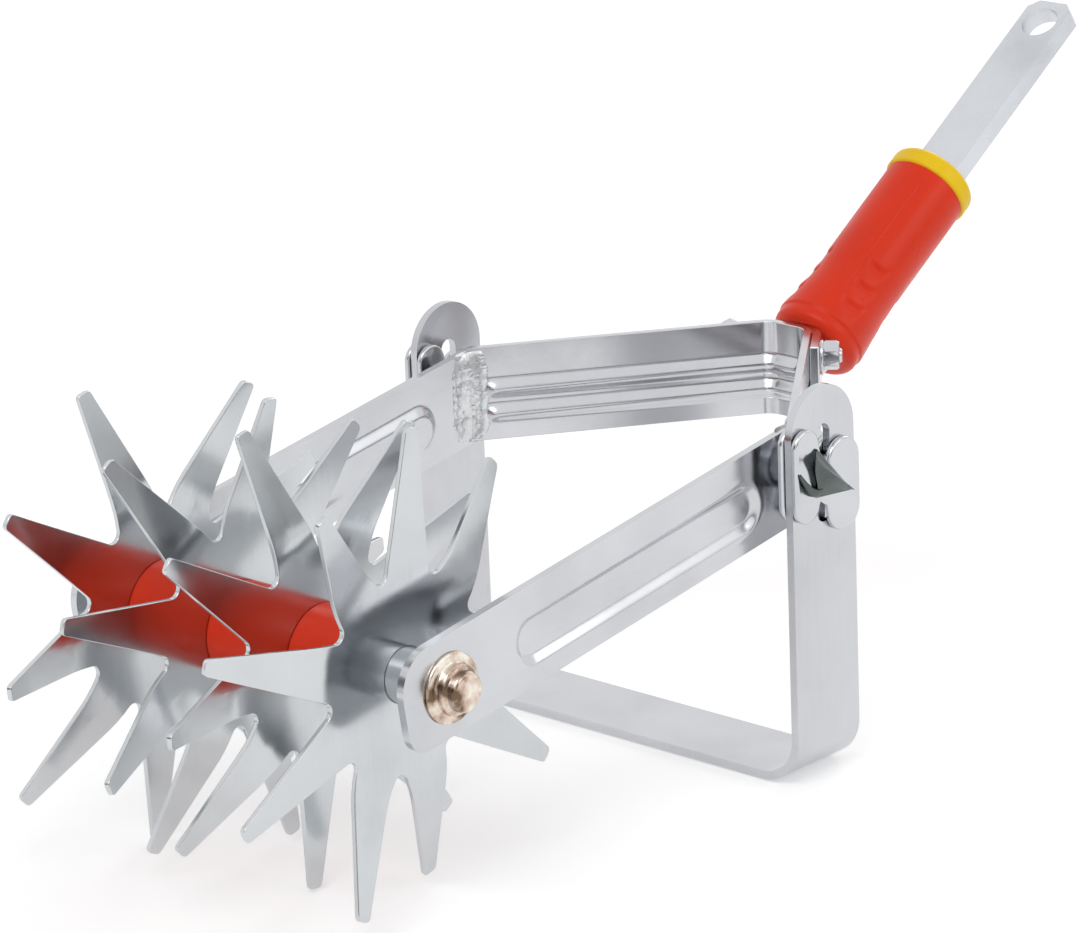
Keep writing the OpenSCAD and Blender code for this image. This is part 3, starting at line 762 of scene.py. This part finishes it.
def corner_weld(side, seed):
    """A dome over the inside corner, broken into round lumps with a ragged toe."""
    corner_x, corner_y = strip_point(side, STRIP_END, 0)
    slide = (BAR_END - abs(corner_y)) / math.sin(BAR_ANGLE)
    corner = Vector((corner_x - slide * math.cos(BAR_ANGLE), side * BAR_END, 0))
    along_bar = Vector((math.cos(BAR_ANGLE), -side * math.sin(BAR_ANGLE), 0))
    along_arm = Vector((-1, 0, 0))
    out_bar = Vector((-math.sin(BAR_ANGLE), -side * math.cos(BAR_ANGLE), 0))
    out_arm = Vector((0, -side, 0))
    low, high = span("weld_near", 2)
    lumps = weld_lumps(low, high, seed)
    rings = []
    for z in spread(low, high, 110):
        ends = 0.62 + 0.38 * min(1, 5 * min(z - low, high - z) / (high - low)) ** 0.5
        wide = WELD_WIDE + 0.7 * ragged(seed, z * 0.3, 0) + 0.3 * ragged(seed, z * 1.1, 2)
        leg = WELD_LEG + 0.9 * ragged(seed, z * 0.4, 7)
        ring = []
        for u in spread(-1, 1, 44):
            dome = max(0, 1 - u * u) ** 0.6
            if u < 0:
                base, out = corner + along_bar * (-u * wide * ends), out_bar
            else:
                base, out = corner + along_arm * (u * leg * ends), out_arm
            blend_out = out_bar.lerp(out_arm, smoothstep(-0.5, 0.5, u)).normalized()
            lump = 0
            for at, across, size, tall in lumps:
                away = math.hypot((z - at) / size, (u - across) * 4.6 / size)
                lump = max(lump, tall * math.sqrt(max(0, 1 - away * away)))
            grain = 0.10 * ragged(seed, z * 1.3, u * 4)
            high_here = dome * (1.5 + 0.5 * lump + grain) * (2.2 * ends - 1.2)
            ring.append(tuple(base + blend_out * high_here - out * 0.05 + Vector((0, 0, z))))
        ring.append(tuple(corner - (out_bar + out_arm) * 0.4 + Vector((0, 0, z))))
        rings.append(ring)
    return loft(rings)


for name, side, seed in (("weld_near", -1, 11.0), ("weld_far", 1, 4.0)):
    weld = corner_weld(side, seed)
    add_piece(f"{name}_bead", weld, "frame", "weld_metal", [name], crease=60)

FOOT_BACK = NOSE_X + FOOT_BEHIND
BEAD_HALF, BEAD_RADIUS = 8.5, 1.9


def straight_bead(z_middle, seed):
    """A rippled bead across the foot plate, thinner at both ends."""
    rings = []
    for y in spread(-BEAD_HALF, BEAD_HALF, 50):
        ends = max(0.02, 1 - (abs(y) / BEAD_HALF) ** 4)
        ripple = 0.25 * math.sin(y * 3.6)
        ring = []
        for a in spread(0, 2 * math.pi, 17)[:-1]:
            r = ends * (BEAD_RADIUS + ripple + 0.4 * ragged(seed, y * 0.6, math.cos(a)))
            ring.append((FOOT_BACK + 0.5 + r * math.cos(a), y, z_middle + r * math.sin(a)))
        rings.append(ring)
    return loft(rings)


bead_low, bead_high = span("foot_weld", 2)
beads = [straight_bead(bead_low + 2, 5.0), straight_bead(bead_high - 2, 8.0)]
add_piece("foot_weld_beads", joined(beads), "frame", "weld_metal", ["foot_weld"], crease=60)
print("welds laid")

# %% [markdown]
# ## Stirrup
# The stirrup is one flat strip bent to a U, so it is carried along its path like the
# crossbar. The tops of the legs are round, and each has an upright slot. A slot is cut
# with a boolean, which is the modelling twin of the punch that makes the real one.

# %% Path of the stirrup
STIRRUP_OUT = span("stirrup", 1)[1]
LEG_TOP = span("stirrup", 2)[1]
STRIP_HALF = 14
CORNER = 14


def stirrup_place(along, depth, across):
    """Place of a point: along the outer face from the middle of the blade, depth inward."""
    flat = STIRRUP_OUT - CORNER
    arc = CORNER * math.pi / 2
    side = -1 if along < 0 else 1
    a = abs(along)
    if a <= flat:
        y, z = a, depth
    elif a <= flat + arc:
        turn = (a - flat) / CORNER
        y = flat + (CORNER - depth) * math.sin(turn)
        z = CORNER - (CORNER - depth) * math.cos(turn)
    else:
        y, z = STIRRUP_OUT - depth, CORNER + a - flat - arc
    return (PIVOT.x + across, side * y, z)


BLADE_HALF = STIRRUP_OUT - CORNER
BLADE_BENT = BLADE_HALF + CORNER * math.pi / 2
HALF_PATH = BLADE_BENT + LEG_TOP - CORNER
half_path = spread(0, BLADE_HALF, 12) + spread(BLADE_HALF, BLADE_BENT, 18)[1:]
half_path += spread(BLADE_BENT, HALF_PATH - STRIP_HALF, 30)[1:]
for a in spread(0, math.pi / 2, 24)[1:]:
    half_path.append(HALF_PATH - STRIP_HALF * (1 - math.sin(a)))
rings = []
for along in [-a for a in reversed(half_path[1:])] + half_path:
    into_round = max(0, STRIP_HALF - (HALF_PATH - abs(along)))
    half = math.sqrt(max(0.0004, STRIP_HALF ** 2 - into_round ** 2))
    ring = [stirrup_place(along, 0, x) for x in spread(-half, half, 12)]
    ring += [stirrup_place(along, SHEET, x) for x in spread(half, -half, 12)]
    rings.append(ring)
stirrup = add_piece(
    "stirrup_bent", loft(rings), "stirrup", "bright_zinc", ["stirrup"], crease=40)

# %% Slots punched in the legs
SLOT_WIDE = 6.2
SLOT_LONG = 29.5


def punch(side):
    ring_low, ring_high = [], []
    for a in once_round(64):
        x = SLOT_WIDE / 2 * math.cos(a)
        end = math.copysign((SLOT_LONG - SLOT_WIDE) / 2, math.sin(a))
        z = SLOT_WIDE / 2 * math.sin(a) + end
        ring_low.append((PIVOT.x + x, side * (STIRRUP_OUT - SHEET - 2), PIVOT.z + z))
        ring_high.append((PIVOT.x + x, side * (STIRRUP_OUT + 2), PIVOT.z + z))
    return loft([ring_low, ring_high])


def cut(piece, punches):
    mesh = bpy.data.meshes.new("punch")
    points, faces = joined(punches)
    mesh.from_pydata([Vector(p) * MM for p in points], [], faces)
    bm = bmesh.new()
    bm.from_mesh(mesh)
    bmesh.ops.recalc_face_normals(bm, faces=bm.faces)
    bm.to_mesh(mesh)
    bm.free()
    tool = bpy.data.objects.new("punch", mesh)
    bpy.context.scene.collection.objects.link(tool)
    boolean = piece.modifiers.new("punched", "BOOLEAN")
    boolean.object = tool
    boolean.solver = "EXACT"
    bpy.context.view_layer.update()
    evaluated = piece.evaluated_get(bpy.context.evaluated_depsgraph_get())
    made = bpy.data.meshes.new_from_object(evaluated)
    piece.modifiers.remove(boolean)
    piece.data = made
    piece.data.set_sharp_from_angle(angle=math.radians(35))
    bpy.data.objects.remove(tool)


cut(stirrup, [punch(-1), punch(1)])
soften(stirrup, 0.35)
print("stirrup", len(stirrup.data.polygons), "faces")

# %% [markdown]
# ## Retaining clips
# A butterfly-shaped plate lies on the outside of each leg and another on the inside,
# held off the arm by a round boss. A web stands in the slot between them, and its end
# is folded over on the outside, which locks the leg and leaves an arrowhead. Its
# near-black colour is painted shade for the shadow in the fold and painted dark reflection.

# %% Lobed plates
CLIP_OUT = -span("pivot_clip_near", 1)[0]
PLATE = 2.0
PASS_GAP = 0.3
OUTER_PLATE = STIRRUP_OUT + PASS_GAP
OUTER_TOP = OUTER_PLATE + PLATE
INNER_PLATE = STIRRUP_OUT - SHEET - PASS_GAP - PLATE
CLIP_SLANT = math.radians(20)
CLIP_MIDDLE = (-1.3, -1.6)
LOBE_ASIDE = 8.7
LOBE_HIGH = 28
FRONT_LOBE, REAR_LOBE = 10.8, 14.0
BOSS_RADIUS = 8.0


def lobe_edge(x, z, wide, turns):
    """Points round a lobe with round ends, between two turns in degrees."""
    points = []
    for turn in turns:
        a = math.radians(turn)
        level = abs(math.sin(a)) < 0.001
        lift = 0 if level else math.copysign((LOBE_HIGH - wide) / 2, math.sin(a))
        points.append((x + wide / 2 * math.cos(a), z + wide / 2 * math.sin(a) + lift))
    return points


def lobed_outline():
    """The whole butterfly: narrow front lobe, notch, wide rear lobe, notch."""
    aside, drop = LOBE_ASIDE * math.cos(CLIP_SLANT), LOBE_ASIDE * math.sin(CLIP_SLANT)
    x, z = CLIP_MIDDLE
    front = lobe_edge(x - aside, z + drop, FRONT_LOBE, spread(4, 356, 45))
    rear = lobe_edge(x + aside, z - drop, REAR_LOBE, spread(-176, 176, 49))
    top = [(x - 2.0, z + 7.6), (x - 0.6, z + 6.9), (x + 0.7, z + 6.9)]
    low = [(x - 2.0, z - 6.3), (x - 0.8, z - 7.2), (x + 0.6, z - 7.6)]
    return front + low + rear + list(reversed(top))


def clip_place(side, x, z, y):
    return (PIVOT.x + x, side * y, PIVOT.z + z)


def lobed_plate(side, start, dish):
    """A plate whose lobes are dished a little and whose edge is rolled over."""
    outline = lobed_outline()
    foot = [(0.5, 0), (0.12, 0.12), (0, 0.5)]
    rolled = [(0, PLATE - 0.7), (0.2, PLATE - 0.25), (0.7, PLATE)]
    dished = [(1.8, PLATE - dish), (3.0, PLATE - 1.6 * dish)]
    rings = []
    for inset, y in foot + rolled + dished:
        ring = []
        for i, (x, z) in enumerate(outline):
            before, after = outline[i - 1], outline[(i + 1) % len(outline)]
            along = Vector((after[0] - before[0], after[1] - before[1])).normalized()
            ring.append(clip_place(side, x - along.y * inset, z + along.x * inset, start + y))
        rings.append(ring)
    return loft(rings)


def boss(side):
    """The round boss that holds the inner plate off the arm."""
    long = INNER_PLATE - ARM_OUT
    corners = [
        (AXIS_RADIUS, 0), (BOSS_RADIUS, 0), (BOSS_RADIUS - 0.3, 0.8),
        (BOSS_RADIUS - 0.3, long), (AXIS_RADIUS, long)]
    outline = rounded(corners, 0.5)
    return lathe(outline, lambda x, z, along: clip_place(side, x, z, ARM_OUT + along), 64)


# %% Folded tongue, web and horn
TONGUE_TOP, TONGUE_EAR = Vector((-5.7, 9.0)), Vector((-8.4, 6.0))
TONGUE_HEEL, TONGUE_POINT = Vector((-5.6, -5.5)), Vector((9.5, -7.1))


def fold_wave(u, t):
    """Small waves that the folding leaves in the tongue."""
    return 0.30 * math.sin(6 * u + 7 * t) * math.sin(math.pi * u) * (1 - t)


def folded_tongue(side):
    """An arrowhead folded along a slanting ridge, from its ear to its point."""
    edge, tall = 0.4, CLIP_OUT - 0.15 - OUTER_TOP - 0.7
    rings = []
    for t in spread(0, 0.985, 26):
        low = TONGUE_HEEL.lerp(TONGUE_POINT, t)
        ridge = TONGUE_EAR.lerp(TONGUE_POINT, t)
        high = TONGUE_TOP.lerp(TONGUE_POINT, t)
        crest = 0.7 + tall * math.sin(math.pi * (0.16 + 0.72 * t)) ** 0.8
        ring = [(low, -0.2)]
        for u in spread(0, 1, 13):
            ring.append((low.lerp(ridge, u), edge + (crest - edge) * u ** 1.5 + fold_wave(u, t)))
        for u in spread(0, 1, 9)[1:]:
            ring.append((ridge.lerp(high, u), crest - (crest - edge) * u ** 0.8 + fold_wave(u, t)))
        ring.append((high, -0.2))
        rings.append([clip_place(side, p.x, p.y, OUTER_TOP + lift) for p, lift in ring])
    return loft(rings)


def web(side):
    """The flat neck that stands in the slot of the leg and joins the two plates."""
    half, low, high = 1.2, -13, 5
    corners = ((-half, low), (half, low), (half, high), (-half, high))
    rings = []
    for y in (INNER_PLATE + PLATE / 2, OUTER_PLATE + PLATE / 2):
        rings.append([clip_place(side, x, z, y) for x, z in corners])
    return loft(rings)


def horn(side):
    """A thin bent ear that leaves the tongue and ends in a blunt point over the front lobe."""
    rings = []
    for t in spread(0, 1, 24):
        x = -13.6 + 8.2 * t
        z = 3.1 - 7.3 * t - 1.7 * math.sin(math.pi * t)
        thick = 0.45 + 1.3 * t
        high = 0.9 + 0.9 * math.sin(math.pi * 0.8 * t)
        ring = []
        for a in spread(0, 2 * math.pi, 17)[:-1]:
            across = thick * math.cos(a)
            lift = high * (0.5 + 0.5 * math.sin(a)) - 0.1
            ring.append(clip_place(side, x + 0.75 * across, z + 0.66 * across, OUTER_TOP + lift))
        rings.append(ring)
    return loft(rings)


for name, side in (("pivot_clip_near", -1), ("pivot_clip_far", 1)):
    plates = [lobed_plate(side, OUTER_PLATE, 0.22), lobed_plate(side, INNER_PLATE, 0.0)]
    plates += [boss(side), web(side)]
    add_piece(
        f"{name}_plates", joined(plates), "frame", "plain_steel", [name],
        finish="pressed_zinc", crease=60)
    # The folded tongue and horn get the near-black finish, which is painted shade for the shadow
    # in the fold and painted dark reflection.
    neck = joined([folded_tongue(side), horn(side)])
    add_piece(f"{name}_neck", neck, "frame", "plain_steel", finish="painted_shade_neck", crease=28)
print("clips made")

# %% [markdown]
# ## Tang
# The tang is a hot-rolled flat bar, sheared with clipped corners and drilled, then
# plated. Its edges are soft and its face is slightly mottled.

# %% Frame of the handle
def on_handle(along, across, up):
    """Place on the handle's own axes, which lie at its slope and start at its foot."""
    c, s = math.cos(HANDLE_SLOPE), math.sin(HANDLE_SLOPE)
    return (HANDLE_FOOT.x + along * c - up * s, across, HANDLE_FOOT.z + along * s + up * c)


TANG_HALF = span("tang", 1)[1]
TANG_THICK = 6
TANG_END = 150
TANG_CHAMFER = 3.2
TANG_ON_FOOT = (FOOT_BACK - HANDLE_FOOT.x) / math.cos(HANDLE_SLOPE)
HOLE_AT = 141
HOLE_RADIUS = 6


def tang_half_width(s):
    """Half the width, less and less over the clipped corners."""
    return min(TANG_HALF, TANG_HALF - (s - TANG_END + TANG_CHAMFER))


stations = spread(-6, TANG_END - TANG_CHAMFER, 60)
stations += spread(TANG_END - TANG_CHAMFER, TANG_END, 5)[1:]
rings = []
for number, s in enumerate(stations):
    half = tang_half_width(s)
    section = [(a, TANG_THICK / 2) for a in spread(-half, half, 12)]
    section += [(a, -TANG_THICK / 2) for a in spread(half, -half, 12)]
    ring = []
    for across, up in section:
        along = s if number else TANG_ON_FOOT + up * math.tan(HANDLE_SLOPE)
        ring.append(on_handle(along, across, up))
    rings.append(ring)
tang = add_piece(
    "tang_sheared", loft(rings), "frame", "bright_zinc", ["tang"], finish="tang_zinc")
hole_rings = []
for up in (-TANG_THICK, TANG_THICK):
    ring = []
    for a in once_round(64):
        along, across = HOLE_AT + HOLE_RADIUS * math.cos(a), HOLE_RADIUS * math.sin(a)
        ring.append(on_handle(along, across, up))
    hole_rings.append(ring)
cut(tang, [loft(hole_rings)])
soften(tang, 0.55, 3)
print("tang", len(tang.data.polygons), "faces")

# %% [markdown]
# ## Sleeve and collar
# The sleeve is a round moulding that widens toward its rounded lower end, with a small
# step there and three rows of finger dents on its lower half. A thin parting line runs
# along its upper side. All of that is a radius that depends on the place along and
# round the sleeve.

# %% Radius of the sleeve
SLEEVE_RADIUS = 13.4
SLEEVE_TOP = 67.4
FLARE_OUT, FLARE_FROM, FLARE_TO = 1.5, 3, 26
STEP_IN, STEP_FROM, STEP_TO = 0.5, 4.9, 5.5
END_ROUND = 3.0
DENT_ROWS = (12.5, 20.5, 28.5)
DENT_TURNS = (50, 145, 232, 314)
DENT_DEEP, DENT_LONG, DENT_TURN = 1.25, 3.3, 17
LINE_TURN, LINE_DEEP, LINE_WIDE = 124, 0.22, 0.28


def turn_apart(a, b):
    """From b to a the shorter way round, in degrees."""
    return (a - b + 180) % 360 - 180


def sleeve_radius(s, turn):
    """Radius at a place along the sleeve in mm and round it in degrees."""
    radius = SLEEVE_RADIUS + FLARE_OUT * (1 - smoothstep(FLARE_FROM, FLARE_TO, s))
    radius -= STEP_IN * (1 - smoothstep(STEP_FROM, STEP_TO, s))
    end = max(0, END_ROUND - s)
    bulge = END_ROUND + 0.5
    radius -= bulge - math.sqrt(max(0, bulge ** 2 - 1.25 * end ** 2))
    for middle in DENT_TURNS:
        away = abs(turn_apart(turn, middle)) / DENT_TURN
        for row in DENT_ROWS:
            t = (s - row - 1.8 * away * away) / DENT_LONG
            deep = DENT_DEEP * math.exp(-4 * (t * 0.6 if t < 0 else t * 1.7) ** 2)
            radius -= deep * (1 - smoothstep(0.25, 1.15, away))
    off = turn_apart(turn, LINE_TURN) * math.pi / 180 * SLEEVE_RADIUS
    ends = smoothstep(15, 17, s) * (1 - smoothstep(61, 63, s))
    return radius - LINE_DEEP * math.exp(-(off / LINE_WIDE) ** 2) * ends


def sleeve_turns():
    """Every second degree, and closer together across the parting line."""
    turns = [t for t in spread(0, 360, 181)[:-1] if abs(turn_apart(t, LINE_TURN)) > 2.3]
    for step in (0.4, 0.8, 1.2, 1.6, 2.2):
        turns += [LINE_TURN - step, LINE_TURN + step]
    return sorted(turns + [LINE_TURN])


stations = [END_ROUND * (1 - math.cos(a)) for a in spread(0, math.pi / 2, 12)]
stations += spread(stations[-1], 45, 110)[1:] + spread(45, SLEEVE_TOP, 20)[1:]
rings = []
for s in stations:
    ring = []
    for turn in sleeve_turns():
        radius, a = sleeve_radius(s, turn), math.radians(turn)
        ring.append(on_handle(s, radius * math.cos(a), radius * math.sin(a)))
    rings.append(ring)
sleeve = add_piece(
    "sleeve_moulded", loft(rings), "frame", "red_plastic", ["sleeve"], crease=50)
print("sleeve", len(sleeve.data.polygons), "faces")

# %% Collar
COLLAR_END = 74.1
COLLAR_RADIUS = 14.1
collar_outline = rounded([
    (AXIS_RADIUS, SLEEVE_TOP), (COLLAR_RADIUS - 0.9, SLEEVE_TOP),
    (COLLAR_RADIUS, SLEEVE_TOP + 0.5), (COLLAR_RADIUS, COLLAR_END - 1.4),
    (COLLAR_RADIUS - 1.5, COLLAR_END), (AXIS_RADIUS, COLLAR_END)], 0.9, 5)
collar = lathe(collar_outline, lambda x, z, along: on_handle(along, x, z), 128)
add_piece("collar_moulded", collar, "frame", "yellow_plastic", ["collar"], crease=50)
print("sleeve and collar made")

# %% [markdown]
# ## Floor, light and camera
# A large pale floor and a pale world light the tool from all around, as in a light
# tent. The camera and everything that mirrors see plain white around it. Plated steel
# shows only what it mirrors, so two grey cards stand in front and on the near side and
# draw soft bands along the sheet. The camera doesn't see the cards themselves.

# %% Floor and grey cards
def add_sheet(name, corners):
    mesh = bpy.data.meshes.new(name)
    mesh.from_pydata(corners, [], [(0, 1, 2, 3)])
    sheet = bpy.data.objects.new(name, mesh)
    bpy.context.scene.collection.objects.link(sheet)
    return sheet


def seen_straight_or_mirrored(tree):
    """1 for what the camera sees straight, in a mirror or through glass, otherwise 0."""
    path = tree.nodes.new("ShaderNodeLightPath")
    total = path.outputs["Is Camera Ray"]
    for kind in ("Is Glossy Ray", "Is Transmission Ray"):
        node = tree.nodes.new("ShaderNodeMath")
        node.operation = "MAXIMUM"
        tree.links.new(total, node.inputs[0])
        tree.links.new(path.outputs[kind], node.inputs[1])
        total = node.outputs[0]
    return total


FLOOR_SIZE, FLOOR_Z, FLOOR_LIFT = 6, -0.0005, 0.34
CARD_LOW, CARD_HIGH, CARD_GREY = 0.30, 1.35, 0.25


def add_floor():
    turns = ((-1, -1), (1, -1), (1, 1), (-1, 1))
    floor = add_sheet("floor", [(FLOOR_SIZE * a, FLOOR_SIZE * b, FLOOR_Z) for a, b in turns])
    material, tree, shader, place = new_finish("floor_paper")
    shader.inputs["Base Color"].default_value = (0.88, 0.88, 0.88, 1)
    shader.inputs["Roughness"].default_value = 0.95
    shader.inputs["Specular IOR Level"].default_value = 0.0
    shader.inputs["Emission Color"].default_value = (1, 1, 1, 1)
    lift = tree.nodes.new("ShaderNodeMath")
    lift.operation = "MULTIPLY"
    lift.inputs[1].default_value = FLOOR_LIFT
    tree.links.new(seen_straight_or_mirrored(tree), lift.inputs[0])
    tree.links.new(lift.outputs[0], shader.inputs["Emission Strength"])
    floor.data.materials.append(material)


def add_card(name, start, end):
    """A grey card that stands upright between two places seen from above."""
    corners = [(*start, CARD_LOW), (*end, CARD_LOW), (*end, CARD_HIGH), (*start, CARD_HIGH)]
    card = add_sheet(name, corners)
    card.visible_camera = False
    material, tree, shader, place = new_finish(name)
    shader.inputs["Base Color"].default_value = (CARD_GREY, CARD_GREY, CARD_GREY * 1.04, 1)
    shader.inputs["Roughness"].default_value = 0.9
    card.data.materials.append(material)


add_floor()
add_card("card_front", (-2.6, -1.3), (-2.6, 1.6))
add_card("card_near", (-1.2, -2.6), (1.8, -2.6))
print("floor and cards set")


# %% World and lamps
def add_world():
    world = bpy.data.worlds.new("light tent")
    bpy.context.scene.world = world
    world.use_nodes = True
    tree = world.node_tree
    background = tree.nodes["Background"]
    where = tree.nodes.new("ShaderNodeTexCoord")
    split = tree.nodes.new("ShaderNodeSeparateXYZ")
    tree.links.new(where.outputs["Generated"], split.inputs["Vector"])
    high = ramp(tree, split.outputs["Z"], [(0.0, 0.62), (0.18, 0.80), (0.55, 1.0), (1.0, 0.86)])
    tree.links.new(high, background.inputs["Color"])
    background.inputs["Strength"].default_value = 0.62
    white = tree.nodes.new("ShaderNodeBackground")
    white.inputs["Color"].default_value = (1, 1, 1, 1)
    white.inputs["Strength"].default_value = 1.0
    mix = tree.nodes.new("ShaderNodeMixShader")
    tree.links.new(seen_straight_or_mirrored(tree), mix.inputs["Fac"])
    tree.links.new(background.outputs["Background"], mix.inputs[1])
    tree.links.new(white.outputs["Background"], mix.inputs[2])
    tree.links.new(mix.outputs["Shader"], tree.nodes["World Output"].inputs["Surface"])


def add_lamp(name, place, aim, size, power):
    data = bpy.data.lights.new(name, "AREA")
    data.shape = "RECTANGLE"
    data.size, data.size_y = size
    data.energy = power
    lamp = bpy.data.objects.new(name, data)
    bpy.context.scene.collection.objects.link(lamp)
    lamp.location = place
    lamp.rotation_mode = "QUATERNION"
    lamp.rotation_quaternion = (Vector(aim) - Vector(place)).to_track_quat("-Z", "Y")


add_world()
add_lamp("key", (-1.1, -0.4, 1.5), (0, 0, 0.08), (1.2, 0.8), 9)
add_lamp("fill", (0.5, -1.7, 0.9), (0, 0, 0.08), (1.4, 1.0), 5)
add_lamp("back", (1.6, 0.4, 1.0), (0, 0, 0.08), (1.0, 0.8), 5)

# %% Camera at the photograph's angle
CAMERA_PLACE = Vector((PIVOT.x - 1111.42, -1003.38, 562.72)) * MM
CAMERA_TURN = math.radians(-46.91)
CAMERA_RISE = math.radians(17.81)
CAMERA_ROLL = math.radians(-2.27)
CAMERA_LENS = 176.4


def add_camera():
    data = bpy.data.cameras.new("camera")
    data.sensor_width = 36
    data.lens = CAMERA_LENS
    data.clip_start, data.clip_end = 0.05, 30
    camera = bpy.data.objects.new("camera", data)
    bpy.context.scene.collection.objects.link(camera)
    ca, sa = math.cos(CAMERA_TURN), math.sin(CAMERA_TURN)
    ce, se = math.cos(CAMERA_RISE), math.sin(CAMERA_RISE)
    level = Vector((ca, sa, 0))
    ahead = Vector((-sa * ce, ca * ce, -se))
    up = level.cross(ahead)
    right = level * math.cos(CAMERA_ROLL) + up * math.sin(CAMERA_ROLL)
    up = -level * math.sin(CAMERA_ROLL) + up * math.cos(CAMERA_ROLL)
    camera.matrix_world = Matrix((
        (right.x, up.x, -ahead.x, CAMERA_PLACE.x),
        (right.y, up.y, -ahead.y, CAMERA_PLACE.y),
        (right.z, up.z, -ahead.z, CAMERA_PLACE.z),
        (0, 0, 0, 1)))
    bpy.context.scene.camera = camera


add_camera()
bpy.context.scene.view_settings.view_transform = "Standard"
